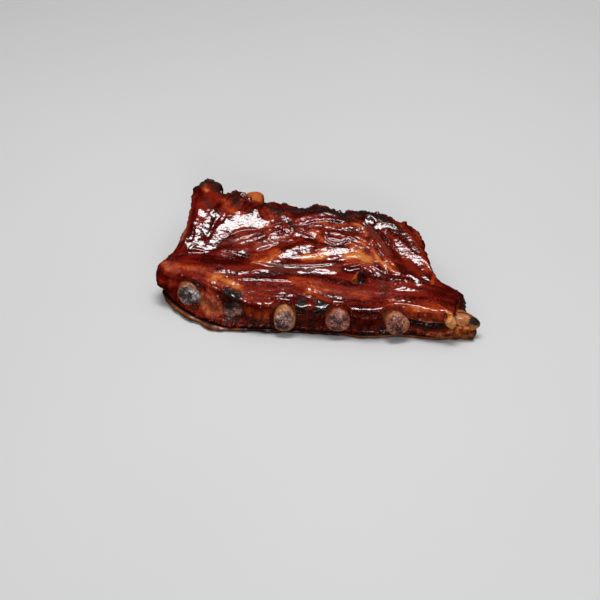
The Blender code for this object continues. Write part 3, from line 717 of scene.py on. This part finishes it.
def ring_faces(rings, around):
    """Faces between rings, closed at each end onto the two points that follow the rings."""
    k = np.arange(around)
    after = (k + 1) % around
    faces = []
    for r in range(rings - 1):
        low = r * around
        high = low + around
        faces += np.column_stack([low + k, high + k, high + after, low + after]).tolist()
    start = rings * around
    faces += np.column_stack([np.full(around, start), k, after]).tolist()
    last = (rings - 1) * around
    faces += np.column_stack([np.full(around, start + 1), last + after, last + k]).tolist()
    return faces


def rounded(points, size, radius):
    """Box points, 0 to 1, with the box's edges rounded."""
    points = points * size
    core = np.clip(points, radius, size - radius)
    out = points - core
    length = np.linalg.norm(out, axis=1, keepdims=True)
    return (core + out / np.maximum(length, 1e-9) * np.minimum(length, radius)) / size


def new_mesh(name, points, faces):
    mesh = bpy.data.meshes.new(name)
    mesh.from_pydata((points + SHIFT) * MM, [], faces)
    mesh.update()
    mesh.shade_smooth()
    return mesh


def normals_of(mesh):
    found = np.empty(len(mesh.vertices) * 3)
    mesh.vertex_normals.foreach_get("vector", found)
    return found.reshape(-1, 3)


def set_points(mesh, points):
    mesh.vertices.foreach_set("co", ((points + SHIFT) * MM).ravel())
    mesh.update()


def set_mask(mesh, name, values):
    mesh.attributes.new(name, "FLOAT", "POINT").data.foreach_set("value", np.clip(values, 0, 1))


def set_tint(mesh, name, colours):
    mesh.attributes.new(name, "FLOAT_COLOR", "POINT").data.foreach_set(
        "color", np.column_stack([np.clip(colours, 0, 1), np.ones(len(colours))]).ravel())


def add_piece(name, mesh, finish, slot, *nodes):
    mesh.materials.append(finish)
    obj = bpy.data.objects.new(name, mesh)
    bpy.context.scene.collection.objects.link(obj)
    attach(obj, "root")
    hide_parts(*nodes)


# Materials

class Shades:
    """A small helper that adds shader nodes and joins them."""

    def __init__(self, name):
        self.material = bpy.data.materials.new(name)
        self.material.use_nodes = True
        self.tree = self.material.node_tree
        self.shader = self.tree.nodes["Principled BSDF"]
        self.place = self.add("ShaderNodeTexCoord").outputs["Object"]

    def add(self, kind, **settings):
        node = self.tree.nodes.new(kind)
        for key, value in settings.items():
            setattr(node, key, value)
        return node

    def put(self, value, socket):
        if isinstance(value, bpy.types.NodeSocket):
            self.tree.links.new(value, socket)
        else:
            socket.default_value = value

    def give(self, node, **values):
        for name, value in values.items():
            self.put(value, node.inputs[name.replace("_", " ")])

    def mask(self, name, output="Fac"):
        return self.add("ShaderNodeAttribute", attribute_name=name).outputs[output]

    def noise(self, size_mm, detail, roughness, seed):
        moved = self.add("ShaderNodeMapping")
        self.give(moved, Vector=self.place, Scale=(1 / (size_mm * MM),) * 3,
                  Location=(seed, seed * 0.7, seed * 1.3))
        node = self.add("ShaderNodeTexNoise")
        self.give(node, Vector=moved.outputs["Vector"], Scale=1.0, Detail=detail, Roughness=roughness)
        return node.outputs["Fac"]

    def ramp(self, value, *stops):
        node = self.add("ShaderNodeValToRGB")
        self.put(value, node.inputs["Fac"])
        band = node.color_ramp
        while len(band.elements) < len(stops):
            band.elements.new(0.5)
        for element, (place, colour) in zip(band.elements, stops):
            element.position = place
            element.color = (*colour, 1)
        return node.outputs["Color"]

    def spread(self, value, low, high, to_low=0.0, to_high=1.0):
        node = self.add("ShaderNodeMapRange")
        self.give(node, Value=value, From_Min=low, From_Max=high, To_Min=to_low, To_Max=to_high)
        return node.outputs["Result"]

    def mix(self, share, first, second):
        node = self.add("ShaderNodeMix", data_type="RGBA")
        self.put(share, node.inputs["Factor"])
        for socket, value in ((node.inputs[6], first), (node.inputs[7], second)):
            self.put(value if isinstance(value, bpy.types.NodeSocket) else (*value, 1), socket)
        return node.outputs[2]

    def maths(self, how, first, second):
        node = self.add("ShaderNodeMath", operation=how)
        self.put(first, node.inputs[0])
        self.put(second, node.inputs[1])
        return node.outputs[0]

    def bump(self, height, distance_mm, **under):
        node = self.add("ShaderNodeBump")
        self.give(node, Height=height, Distance=distance_mm * MM, Strength=1.0, **under)
        return node.outputs["Normal"]


def glaze_material():
    """Mahogany glaze, streaked and speckled, with amber, fatty and charred places, pale painted sheen and
    painted shade.
    """
    s = Shades("glaze")
    mottle = s.noise(5, 4, 0.6, seed=3)
    fine = s.noise(1.3, 4, 0.65, seed=9)
    lean = s.mask("streak")
    base = s.ramp(mottle, (0.3, (0.08, 0.002, 0.0015)), (0.5, (0.135, 0.0038, 0.002)),
                  (0.72, (0.23, 0.010, 0.004)))
    base = s.mix(s.spread(lean, 0.5, 1.0, 0, 0.75), base, (0.32, 0.02, 0.007))
    base = s.mix(s.spread(lean, 0.5, 0.0, 0, 0.85), base, (0.022, 0.0014, 0.0012))
    lit = s.maths("MULTIPLY", s.mask("amber"), s.spread(lean, 0, 1, 0.5, 1.45))
    warm = s.maths("ADD", lit, s.spread(fine, 0.3, 0.7, -0.22, 0.22))
    warm_colour = s.ramp(warm, (0.1, (0.22, 0.011, 0.005)), (0.4, (0.38, 0.032, 0.009)),
                         (0.7, (0.58, 0.088, 0.017)), (1.0, (0.82, 0.26, 0.055)))
    colour = s.mix(s.spread(warm, 0.02, 0.4), base, warm_colour)
    # pale pink, mostly a painted sheen
    colour = s.mix(s.spread(s.mask("blush_and_sheen"), 0.05, 1.0, 0, 0.85), colour, (0.75, 0.22, 0.14))
    fat_colour = s.ramp(fine, (0.3, (1.0, 0.36, 0.10)), (0.7, (1.0, 0.50, 0.20)))
    colour = s.mix(s.spread(s.mask("fat"), 0.1, 0.8), colour, fat_colour)
    grain = s.mask("grain")
    specks = s.noise(0.9, 4, 0.65, seed=41)
    colour = s.mix(s.spread(s.maths("MULTIPLY", s.spread(specks, 0.54, 0.66), grain), 0, 1, 0, 0.8), colour,
                   (0.02, 0.004, 0.003))
    colour = s.mix(s.spread(s.maths("MULTIPLY", s.spread(specks, 0.46, 0.34), grain), 0, 1, 0, 0.5), colour,
                   (0.50, 0.075, 0.016))
    # char colour, also used for painted shade inside the hole and in the front wall's hollows and lower part
    char_shade_colour = s.ramp(fine, (0.3, (0.007, 0.004, 0.0035)), (0.55, (0.028, 0.014, 0.011)),
                   (0.75, (0.10, 0.06, 0.05)))
    char_shade_share = s.spread(s.maths("ADD", s.mask("char_and_shade"), s.spread(fine, 0.3, 0.7, -0.35, 0.35)), 0.2, 0.9)
    colour = s.mix(char_shade_share, colour, char_shade_colour)
    dull = s.maths("ADD", s.spread(fine, 0.3, 0.75, 0.14, 0.24), s.spread(char_shade_share, 0, 1, 0, 0.12))
    s.give(s.shader, Base_Color=colour, Roughness=dull, IOR=1.45, Specular_IOR_Level=0.25, Coat_Weight=1.0,
           Coat_IOR=1.7, Coat_Roughness=s.spread(s.mask("satin"), 0, 1, 0.05, 0.24))
    rising = s.noise(2.2, 1.5, 0.5, seed=5)
    crinkled = s.maths("MULTIPLY", s.noise(1.3, 1, 0.5, seed=21), grain)
    pitted = s.maths("MULTIPLY", s.spread(s.noise(0.8, 2, 0.5, seed=31), 0.6, 0.72, 1, 0), grain)
    pores = s.bump(s.maths("ADD", crinkled, pitted), 0.22)
    s.give(s.shader, Normal=s.bump(rising, 0.22, Normal=pores),
           Coat_Normal=s.bump(rising, 0.14, Normal=pores))
    return s.material


def bone_material():
    """Bone in the colours that each mesh carries, duller on the sawn faces."""
    s = Shades("bone")
    fine = s.noise(0.9, 4, 0.65, seed=2)
    tint = s.mask("tint", "Color")
    colour = s.mix(s.spread(fine, 0.3, 0.75), s.mix(0.55, tint, (0.02, 0.01, 0.006)), tint)
    dull = s.maths("ADD", s.spread(fine, 0.3, 0.7, 0.25, 0.4), s.spread(s.mask("dry"), 0, 1, 0, 0.25))
    s.give(s.shader, Base_Color=colour, Roughness=dull, Coat_Weight=0.6, Coat_Roughness=0.16,
           Normal=s.bump(s.noise(0.5, 3, 0.6, seed=4), 0.15))
    return s.material


def skin_material():
    """Orange-brown roasted skin, dark away from its pale rim: partly sauce, partly painted shade under the
    meat.
    """
    s = Shades("skin")
    mottle = s.noise(6, 4, 0.6, seed=6)
    fine = s.noise(1.2, 4, 0.65, seed=8)
    colour = s.ramp(mottle, (0.3, (0.09, 0.02, 0.007)), (0.5, (0.25, 0.06, 0.016)),
                    (0.7, (0.50, 0.15, 0.035)))
    colour = s.mix(s.spread(fine, 0.45, 0.7, 0, 0.6), colour, (0.06, 0.018, 0.01))
    pale = s.maths("ADD", s.mask("pale"), s.spread(fine, 0.3, 0.7, -0.2, 0.2))
    # dark where the pale mask is low: partly sauce, partly painted shade under the meat
    colour = s.mix(s.spread(pale, 0.2, 0.7), (0.028, 0.006, 0.004), colour)
    s.give(s.shader, Base_Color=colour, Roughness=s.spread(fine, 0.3, 0.7, 0.25, 0.45), Coat_Weight=0.6,
           Coat_Roughness=0.15, Normal=s.bump(s.noise(1.0, 3, 0.6, seed=12), 0.2))
    return s.material


# Pieces

# How finely the pieces are divided: round the front, top, back and underside, then along the slab and at its
# ends.
MEAT_RING = (34, 170, 22, 30)
MEAT_ALONG_AND_CAPS = (320, 24)
SKIN_RING = (6, 70, 6, 70)
SKIN_ALONG_AND_CAPS = (240, 4)
BONE_AROUND = 80
BONE_RINGS = 70
BONE_FACE_RINGS = 18
BONE_EDGE_RINGS = 7

# What the front wall does between the bones: rib number, height share, half widths of both, how far the patch
# stands out (less than nothing where it is hollow), and its colours: amber, char, fat and blush. Some of the
# char is painted shade and the blush is partly painted sheen; the rows below say where the char is shade.
WALL = [
    (1.5, 0.45, 0.26, 0.3, 1.2, {"amber": 0.7, "blush_and_sheen": 0.3}),
    (1.6, 0.85, 0.2, 0.1, 0.6, {"amber": 0.35}),
    (2.5, 0.5, 0.34, 0.3, 0.4, {"amber": 0.45}),
    (2.5, 0.95, 0.3, 0.07, 1.2, {}),
    (4.5, 0.95, 0.4, 0.08, 1.4, {"amber": 0.1}),
    (0.45, 0.57, 0.35, 0.2, 2.9, {}),
    (2.0, 0.97, 0.2, 0.09, 1.0, {"char_and_shade": 1.2}),
    # the char in this hollow and the next is painted shade
    (3.5, 0.45, 0.3, 0.25, -2.5, {"char_and_shade": 0.4, "amber": 0.15}),
    (4.5, 0.5, 0.3, 0.22, -4.0, {"char_and_shade": 0.35, "amber": 0.2}),
    (5.2, 0.78, 0.1, 0.2, 1.8, {"amber": 0.42}),
    (5.2, 0.6, 0.12, 0.03, 0.8, {"amber": 0.6, "blush_and_sheen": 0.6}),
    # the char in this hollow below the bulge is painted shade
    (5.2, 0.4, 0.16, 0.14, -2.2, {"char_and_shade": 1.0}),
    (5.43, 0.9, 0.07, 0.14, 1.0, {"amber": 1.0}),
    (5.46, 0.66, 0.13, 0.2, 3.0, {"fat": 1.3}),
    (5.8, 0.18, 0.6, 0.24, 2.0, {"amber": 0.8, "fat": 0.1}),
    (0.35, 0.6, 0.45, 0.4, 0.0, {"amber": 0.05}),
    (3.33, 0.9, 0.12, 0.14, 0.9, {"char_and_shade": 1.4}),
    (3.7, 0.88, 0.18, 0.14, 1.1, {"char_and_shade": 1.4}),
    # the char in the gap under the lip tube is painted shade
    (4.5, 0.8, 0.2, 0.06, 0.0, {"char_and_shade": 0.7}),
    (3.0, 0.86, 0.2, 0.25, -2.6, {}),
    (4.0, 0.86, 0.2, 0.25, -2.8, {}),
    (5.0, 0.86, 0.2, 0.25, -1.8, {}),
    (2.0, 0.6, 0.24, 0.4, 0.0, {"char_and_shade": 0.6}),
    (1.2, 0.88, 0.2, 0.08, 0.4, {"char_and_shade": 0.9}),
    (6.5, 0.7, 0.3, 0.3, 0.0, {"char_and_shade": 0.6}),
]


def top_relief():
    """On the plan: the relief of the top, where it is inside the hole, finely wrinkled and streaked."""
    relief = fold_relief()
    inside = hole_inside()
    relief = relief + leaning_relief(relief) + ridges(CREASES, 0.2)
    relief = relief - HOLE_DEPTH * step_up(inside, -0.6, 1.4)
    directions = flow_directions()
    calm = np.ones(GRID_X.shape)
    for k, (strength, width, points) in enumerate(STRANDED):
        window, mask = patch(points, width * 2, 0.2, 70 + k)
        calm[window] = calm[window] * (1 - mask) + strength * mask
    grain = 0.1 + 0.9 * painted(GRAIN, 0.3, 211)
    for k, (front, _, width, points) in enumerate(LEANS):
        if front > GLARE_FROM:
            window, mask = patch(points, width, 0.6, 40 + len(CALM_LEANS) + k)
            calm[window] *= 1 - 0.65 * mask
            grain[window] *= 1 - 0.45 * mask
    broad = strand_relief(directions, *BROAD_STRANDS)
    narrow = strand_relief(directions, *NARROW_STRANDS)
    spots = np.stack([GRID_X * 0.8, GRID_Y, np.zeros(GRID_X.shape)], axis=-1)
    wrinkles = grain * (np.abs(rough(spots, 2.6, 221)) + 1.6 * np.abs(rough(spots, 6, 225)) - 0.4 - 0.25)
    relief = relief + calm * (0.26 * broad + 0.32 * narrow) + 0.5 * wrinkles
    streak = 0.5 + 0.5 * np.tanh(1.3 * strand_relief(directions, *NARROW_STREAKS)
                                 + 0.9 * strand_relief(directions, *BROAD_STREAKS)
                                 + 1.5 * calm * narrow + 2.5 * wrinkles)
    return relief, inside, grain, streak


def make_meat(finish):
    """The glazed slab: the plan's relief on top, the WALL patches in front and a crust along the back."""
    relief, inside, grain, streak = top_relief()

    # the form, with the front wall's patches
    points, faces = block_surface(box_ring(*MEAT_RING), *MEAT_ALONG_AND_CAPS)
    unit = rounded(points, BLOCK, 2.2 + 2 * step_up(np.abs(points[:, :1] - 0.5), 0.42, 0.49))
    a, b, c = unit.T
    place, number = meat_point(a, b, c, relief)
    frontness = step_up(0.10 - b, 0, 0.07)
    masks = {name: np.zeros(len(unit)) for name in ("amber", "char_and_shade", "fat", "blush_and_sheen")}
    for k, (at_number, at_c, half_number, half_c, out, colours) in enumerate(WALL):
        far = np.hypot((number - at_number) / half_number, (c - at_c) / half_c)
        far = far + 0.3 * rough(place, 5, 200 + k)
        share = step_up(1.35 - far, 0, 0.7) * frontness
        place[:, 1] -= out * share
        for name, strength in colours.items():
            masks[name] = np.maximum(masks[name], strength * share)

    # lumps and fibres on the sides, crust at the back
    mesh = new_mesh("glazed_meat", place, faces)
    normals = normals_of(mesh)
    sides = 1 - step_up(normals[:, 2], 0.35, 0.7)
    back = step_up(b, 0.93, 0.99)
    edge = 0.3 * step_up(0.06 - b, 0, 0.05) * step_up(c, 0.5, 0.7)
    uneven = np.maximum(sides, edge)
    lumps = rough(place, 6, 301) * 0.7 * uneven + rough(place, 2.4, 311) * (0.35 * uneven + 0.1 * frontness)
    upright = place * np.array([1, 1, 0.4])
    strings = np.abs(rough(upright, 3.5, 325))
    corner = step_up(0.95 - number, 0, 0.3) * frontness
    fibres = (rough(upright, 1.5, 321) * 0.7 + strings * 2.2 - 0.7) * sides * (1 - back)
    crust = back * (np.abs(rough(place, 4, 331, 4)) * 2.6 - 0.6 + 0.5 * rough(place, 1.3, 335, 2))
    dimples = rough(place, 1.5, 341, 2) * 0.08
    moved = lumps + fibres * (1 - 0.8 * corner) + crust + dimples
    place = place + normals * moved[:, None]
    set_points(mesh, place)

    # the colours and finish
    def seen(plan):
        return read_plan(plan, place[:, 0], place[:, 1])

    over = step_up(c, 0.75, 0.95)
    # painted shade inside the hole, to the right of its orange wall, laid into the char mask
    painted_hole_shade = step_up(inside, 0, 0.8) * step_up(GRID_X, HOLE_SHADE_FROM, HOLE_SHADE_FROM + 1)
    scorched = back * (0.55 + 0.6 * rough(place, 5, 401)) * step_up(c, 0.3, 0.8)
    # painted shade on the lower front wall under the bones, laid into the char mask
    lower_wall_shade = step_up(0.42 - c, 0, 0.2) * frontness * step_up(number, 1.2, 2.2)
    for name, values in (
        ("amber", seen(painted(AMBER, 0.28, 101)) * over),
        ("char_and_shade", seen(np.maximum(painted(CHAR, 0.35, 151), painted_hole_shade)) * over),
        ("char_and_shade", scorched),
        ("char_and_shade", lower_wall_shade * (0.45 + 0.6 * rough(upright, 3, 421))),
        ("blush_and_sheen", seen(painted(BLUSH_AND_SHEEN, 0.3, 181)) * step_up(c, 0.5, 0.8)),
    ):
        masks[name] = np.maximum(masks[name], values)
    for name, values in masks.items():
        set_mask(mesh, name, values)
    hanging = 0.1 + 2 * strings + 0.6 * rough(upright, 1.8, 411)
    set_mask(mesh, "streak", seen(streak) * over + hanging * (1 - over))
    grain = np.maximum(seen(grain) * over, (1 - over) * (1 - 0.8 * corner))
    set_mask(mesh, "grain", grain * (1 - 0.85 * np.minimum(masks["fat"], 1)))
    satin = np.maximum(seen(painted(SATIN, 0.3, 231)) * over, 0.2 * (1 - over))
    set_mask(mesh, "satin", np.maximum(satin, back))
    add_piece("glazed_meat", mesh, finish, "glazed_meat", "meat")


def make_skin(finish):
    """The thin skin below, with a lobed rim at the left and a pad pushed out below the last bone."""
    points, faces = block_surface(box_ring(*SKIN_RING), *SKIN_ALONG_AND_CAPS)
    unit = rounded(points, SKIN_BLOCK, SKIN_ROUND)
    place, number = skin_point(*unit.T)
    mesh = new_mesh("roasted_skin", place, faces)
    normals = normals_of(mesh)
    pushed = step_up(number, 5.25, 5.6) * step_up(0.2 - unit[:, 1], 0, 0.15)
    place = place + pushed[:, None] * np.array([3.5, -1.5, 0])
    place[:, 2] += 2.5 * pushed * unit[:, 2]
    wrinkled = rough(place * np.array([0.5, 1, 1]), 4, 501) * 0.45 + rough(place, 1.8, 511) * 0.2
    lobed = rough(place * np.array([1, 0.3, 0.3]), 7, 521, 2) * 1.6 + 0.5
    wrinkled = wrinkled + lobed * step_up(0.012 - unit[:, 1], 0, 0.01) * step_up(3.6 - number, 0, 0.5)
    resting = step_up(place[:, 2], 0.1, 1.2)
    set_points(mesh, place + normals * (wrinkled * resting)[:, None])
    # Pale along the rim: fully at the left end and on the pad, less past the fourth bone, least between; pale
    # on the underside too. Darker elsewhere, partly sauce and partly painted shade under the meat.
    ends = 1 - step_up(number, 2.0, 2.3) * (1 - 0.7 * step_up(number, 3.9, 4.2))
    pad = step_up(number, 5.2, 5.3)
    rim = step_up(0.014 + 0.128 * pad - unit[:, 1], 0, 0.008)
    under = step_up(0.5 - unit[:, 2], 0, 0.4)
    set_mask(mesh, "pale", np.maximum(rim * (0.15 + 0.85 * np.maximum(ends, pad)), under))
    add_piece("roasted_skin", mesh, finish, "roasted_skin", "underside_skin")


# Each bone's front end: how much its sawn face bulges, how deeply it is pitted, and the colours of the face's
# ridges and pits, the ring of bone round it, the shaft and the face at the back. The ring is thickest towards
# one side: the direction in degrees from the left over the top, and how thick it is there and elsewhere. The
# spots have a place, a reach and a colour of their own.
INSIDE_MEAT = (0.3, 0.1, 0.04)
BONE_LOOKS = [
    {"bulge": 0.8, "pits": 1.1, "worn_back": 0.6, "ridge": (0.78, 0.62, 0.60), "pit": (0.11, 0.078, 0.074),
     "ring": (90, 0.2, 0.08), "rim": (0.98, 0.34, 0.16), "shaft": (0.62, 0.17, 0.06),
     "back": (0.05, 0.028, 0.02)},
    {"bulge": 0.2, "pits": 1.1, "worn_back": 0, "ridge": (0.62, 0.27, 0.22), "pit": (0.03, 0.014, 0.012),
     "ring": (80, 0.2, 0.05), "rim": (0.30, 0.06, 0.03), "shaft": (0.30, 0.07, 0.02),
     "back": (1.0, 0.20, 0.03), "spots": [((-50, -43, 17), 4.5, (0.03, 0.017, 0.014))]},
    {"bulge": 1.0, "pits": 1.0, "worn_back": 1.8, "ridge": (0.76, 0.42, 0.35), "pit": (0.09, 0.048, 0.04),
     "ring": (80, 0.36, 0.08), "rim": (0.98, 0.36, 0.14), "shaft": (0.98, 0.36, 0.11),
     "back": INSIDE_MEAT},
    {"bulge": 0.8, "pits": 0.8, "worn_back": 2.8, "ridge": (0.72, 0.30, 0.24), "pit": (0.14, 0.052, 0.042),
     "ring": (125, 0.3, 0.1), "rim": (0.98, 0.20, 0.09), "shaft": (0.9, 0.16, 0.055),
     "back": INSIDE_MEAT},
    {"bulge": 0.9, "pits": 1.0, "worn_back": 2.4, "ridge": (0.74, 0.25, 0.18), "pit": (0.045, 0.02, 0.016),
     "ring": (175, 0.5, 0.1), "rim": (1.0, 0.36, 0.17), "shaft": (0.85, 0.24, 0.09),
     "back": INSIDE_MEAT},
    {"bulge": 0.8, "pits": 0.5, "worn_back": 0, "ridge": (0.85, 0.30, 0.10), "pit": (0.42, 0.11, 0.04),
     "ring": (150, 0.1, 0.1), "rim": (0.62, 0.18, 0.06), "shaft": (1.0, 0.30, 0.07),
     "back": (0.55, 0.16, 0.045),
     "spots": [((86.5, -39, 13), 5.6, (0.10, 0.03, 0.015)), ((86.5, -39, 13), 4.6, (1.0, 0.29, 0.09)),
               # the last spot is painted shade in the crack below the end
               ((94, -38.5, 12), 3.6, (0.05, 0.022, 0.016)), ((89, -43, 7), 3.0, (0.06, 0.022, 0.014))]},
]


def bone_grid(start, end, length):
    """The number of rings and, for each point of a bone, its share of the length, its direction round it, its
    share of the radius and how far it belongs to a sawn face. The rings run from one face's middle to the
    other's, and the two middles are the last points."""
    edge = 1 - np.linspace(0, 1, BONE_EDGE_RINGS)[::-1] ** 2
    body = np.concatenate([start + edge[:-1] * BONE_END / length,
                           np.linspace(start + BONE_END / length, end - BONE_END / length, BONE_RINGS),
                           end - edge[-2::-1] * BONE_END / length])
    worn = np.clip(np.minimum(body - start, end - body) * length / BONE_END, 0, 1)
    rounded_off = BONE_FACE + (1 - BONE_FACE) * np.sqrt(np.clip(1 - (1 - worn) ** 2, 0, 1))
    face = np.linspace(0, 1, BONE_FACE_RINGS + 1)[1:] * BONE_FACE - 0.02
    flatness = 1 - step_up(face, 0.84, BONE_FACE)
    share = np.concatenate([np.full(len(face), start), body, np.full(len(face), end)])
    radius = np.concatenate([face, rounded_off, face[::-1]])
    faceness = np.concatenate([flatness, np.zeros(len(body)), flatness[::-1]])
    angle = np.linspace(0, 2 * math.pi, BONE_AROUND, endpoint=False)
    turn = np.append(np.tile(angle, len(share)), (0, 0))

    def for_points(rings, middles):
        return np.append(np.repeat(rings, BONE_AROUND), middles)

    return (len(share), for_points(share, (start, end)), turn, for_points(radius, (0, 0)),
            for_points(faceness, (1, 1)))


def make_bone(number, rib, looks, finish):
    """One rib bone along the solid's curve, with worn, pitted ends."""
    front, middle, back = (np.array(rib[k], float) for k in ("front", "middle", "back"))
    length = np.linalg.norm(back - front)
    start = -rib["out"][0] / length
    count, share, turn, radius, faceness = bone_grid(start, 1 + rib["out"][1] / length, length)
    sine = np.sin(turn)
    cosine = np.cos(turn)

    # the outline: waisted, uneven and squared towards the back
    size = radius * (1 - BONE_WAIST * np.sin(math.pi * np.clip(share, 0, 1)))
    size *= 1 + 0.04 * np.sin(2 * turn + front[0]) + 0.03 * np.sin(3 * turn + front[0])
    size *= 1 + 0.09 * rough(np.column_stack([cosine * 2, sine * 2, share * 3]), 1.4, 580 + number, 2)
    size *= 1 + 0.8 * step_up(share, 0.86, 0.96) * ((cosine**4 + sine**4) ** -0.25 - 1)

    # the front face: cut aslant and worn back over its upper half
    lean, slant = (math.tan(math.radians(a)) * rib["half"][1 - k] for k, a in enumerate(rib["cut"]))
    depth = (share - start) * length
    worn_back = looks["worn_back"] * np.clip(sine, 0, 1)
    faceness = np.maximum(faceness, step_up(worn_back - depth, 0, 0.6))
    cut = (sine * lean + cosine * slant) * radius / np.linalg.norm(4 * middle - 3 * front - back)
    share = share + cut * step_up(0.34 - share + start, 0, 0.3)
    in_front = share < 0.5

    # the course of the rib
    centre = across(share[:, None], front, middle, back)
    ahead = across(share[:, None] + 0.01, front, middle, back) - centre
    ahead /= np.linalg.norm(ahead, axis=1, keepdims=True)
    side = np.cross((0, 0, 1), ahead)
    side /= np.linalg.norm(side, axis=1, keepdims=True)
    up = np.cross(ahead, side)
    place = (centre + side * (cosine * size * rib["half"][0])[:, None]
             + up * (sine * size * rib["half"][1])[:, None])
    mesh = new_mesh(f"bone_{number}", place, [f[::-1] for f in ring_faces(count, BONE_AROUND)])
    normals = normals_of(mesh)

    # the relief: ridges from the middle of the face outwards, and a finely uneven shaft
    outwards = radius + np.where(in_front, depth, 0) / rib["half"][1]
    flat = np.column_stack([cosine, sine, np.zeros(len(turn))]) * outwards[:, None] * 6
    spokes = np.column_stack([cosine * 4, sine * 4, radius * 1.6])
    ridged = np.abs(0.5 * rough(spokes, 0.9, 600 + number, 2) * step_up(radius, 0.1, 0.5)
                    + 0.8 * rough(flat * np.array([1.5, 0.8, 1]), 1.2, 640 + number, 4))
    ridged = np.clip(ridged * 2.4, 0, 1)
    pits = np.where(in_front, looks["pits"], 0.3 * looks["pits"])
    grown = rough(place * np.array([1, 0.4, 1]), 3, 620 + number) * 0.3 + rough(place, 1.2, 660) * 0.08
    moved = faceness * ((ridged - 0.5) * pits + looks["bulge"] * (1 - radius**2)) + (1 - faceness) * grown
    set_points(mesh, place + normals * moved[:, None])

    # the colours: the face, the ring of bone round it, the shaft and the spots
    ridged = ridged[:, None]
    core = np.array(looks["pit"]) * (1 - ridged) + np.array(looks["ridge"]) * ridged
    core = core * np.clip(1.1 + 2.2 * rough(flat, 3.2, 760 + number, 2), 0.3, 1.9)[:, None]
    behind = np.array(looks["back"]) * (0.9 + 0.5 * rough(place, 2.5, 790))[:, None]
    core = np.where(in_front[:, None], core, behind)
    rim = np.array(looks["rim"]) * (0.9 + 0.7 * rough(place, 1.2, 690))[:, None]
    shaft = np.where((share < 0.8)[:, None], looks["shaft"], looks["back"])
    shaft = shaft * (0.85 + 0.5 * rough(place, 3, 680 + number))[:, None]
    towards, thickest, thinnest = looks["ring"]
    thick = thinnest + (thickest - thinnest) * np.clip(np.cos(turn - math.radians(towards)), 0, 1) ** 1.5
    inner = BONE_FACE - thick + worn_back / rib["half"][1] + 0.14 * rough(place, 2, 700 + number)
    rim_share = (step_up(outwards - inner, -0.05, 0.05) * faceness)[:, None]
    tint = core * (1 - rim_share) + rim * rim_share
    tint = tint * faceness[:, None] + shaft * (1 - faceness[:, None])
    for spot, reach, colour in looks.get("spots", ()):
        far = np.linalg.norm(place - spot, axis=1) + 0.9 * rough(place, 2, 720)
        covered = step_up(reach - far, 0, 0.6)[:, None]
        tint = tint * (1 - covered) + np.array(colour) * (0.7 + 0.6 * ridged) * covered
    set_tint(mesh, "tint", tint)
    set_mask(mesh, "dry", faceness)
    add_piece(f"bone_{number}", mesh, finish, "roasted_bone", f"rib_{number}")


# The studio

# Lights: name, place, width and depth, radiance, and whether the glaze mirrors it. They face the ribs.
LIGHTS = [
    ("overhead", (0.0, 0.05, 0.90), (0.44, 0.21), 12.3, True),
    ("veil", (0.0, 0.05, 0.95), (0.85, 0.62), 0.06, True),
    ("glints", (0.25, -1.1, 0.55), (0.35, 0.14), 9, True),
    ("ceiling", (0.0, 0.2, 1.5), (2.4, 1.8), 0.5, False),
    ("front", (0.1, -1.3, 0.35), (1.2, 0.6), 1.15, False),
]
CAMERA_PLACE = (0.06996, -0.48481, 0.4252)
CAMERA_RIGHT = (0.9897, 0.1379, -0.0375)
CAMERA_AHEAD = (-0.1275, 0.7338, -0.6673)
CAMERA_LENS = 62.82


def make_floor():
    """A plain pale floor."""
    mesh = bpy.data.meshes.new("floor")
    mesh.from_pydata([(-3, -3, 0), (3, -3, 0), (3, 3, 0), (-3, 3, 0)], [], [(0, 1, 2, 3)])
    mesh.update()
    s = Shades("floor")
    pale = s.ramp(s.noise(400, 2, 0.5, 0), (0.3, (0.84, 0.84, 0.84)), (0.7, (0.88, 0.88, 0.88)))
    s.give(s.shader, Base_Color=pale, Roughness=0.9)
    mesh.materials.append(s.material)
    obj = bpy.data.objects.new("floor", mesh)
    bpy.context.scene.collection.objects.link(obj)
    obj.visible_glossy = False
    obj.visible_diffuse = False


def add_light(name, place, size, radiance, mirrored):
    """A soft box at place, facing the ribs, as bright however large it is."""
    light = bpy.data.lights.new(name, "AREA")
    light.shape = "RECTANGLE"
    light.size, light.size_y = size
    light.energy = radiance * math.pi * size[0] * size[1]
    obj = bpy.data.objects.new(name, light)
    obj.visible_glossy = mirrored
    obj.rotation_euler = Vector(place).to_track_quat("Z", "Y").to_euler()
    obj.location = place
    bpy.context.scene.collection.objects.link(obj)


def make_camera():
    """The photograph's camera: it looks down from the front."""
    data = bpy.data.cameras.new("camera")
    data.sensor_width = 36
    data.lens = CAMERA_LENS
    data.clip_start = 0.01
    obj = bpy.data.objects.new("camera", data)
    right = Vector(CAMERA_RIGHT).normalized()
    ahead = Vector(CAMERA_AHEAD).normalized()
    up = right.cross(ahead).normalized()
    turn = Matrix((right, up, -ahead)).transposed().to_4x4()
    obj.matrix_world = Matrix.Translation(Vector(CAMERA_PLACE) + Vector(SHIFT) * MM) @ turn
    bpy.context.scene.collection.objects.link(obj)
    bpy.context.scene.camera = obj


def make_world():
    """A dim, even surrounding light that the glaze does not mirror."""
    world = bpy.data.worlds.new("studio")
    world.use_nodes = True
    world.node_tree.nodes["Background"].inputs[0].default_value = (0.12, 0.12, 0.125, 1)
    world.cycles_visibility.glossy = False
    bpy.context.scene.world = world
    bpy.context.scene.view_settings.view_transform = "Standard"


make_meat(glaze_material())
make_skin(skin_material())
bone_finish = bone_material()
for rib_number, (rib, looks) in enumerate(zip(RIBS, BONE_LOOKS), 1):
    make_bone(rib_number, rib, looks, bone_finish)
make_floor()
for settings in LIGHTS:
    add_light(*settings)
make_camera()
make_world()
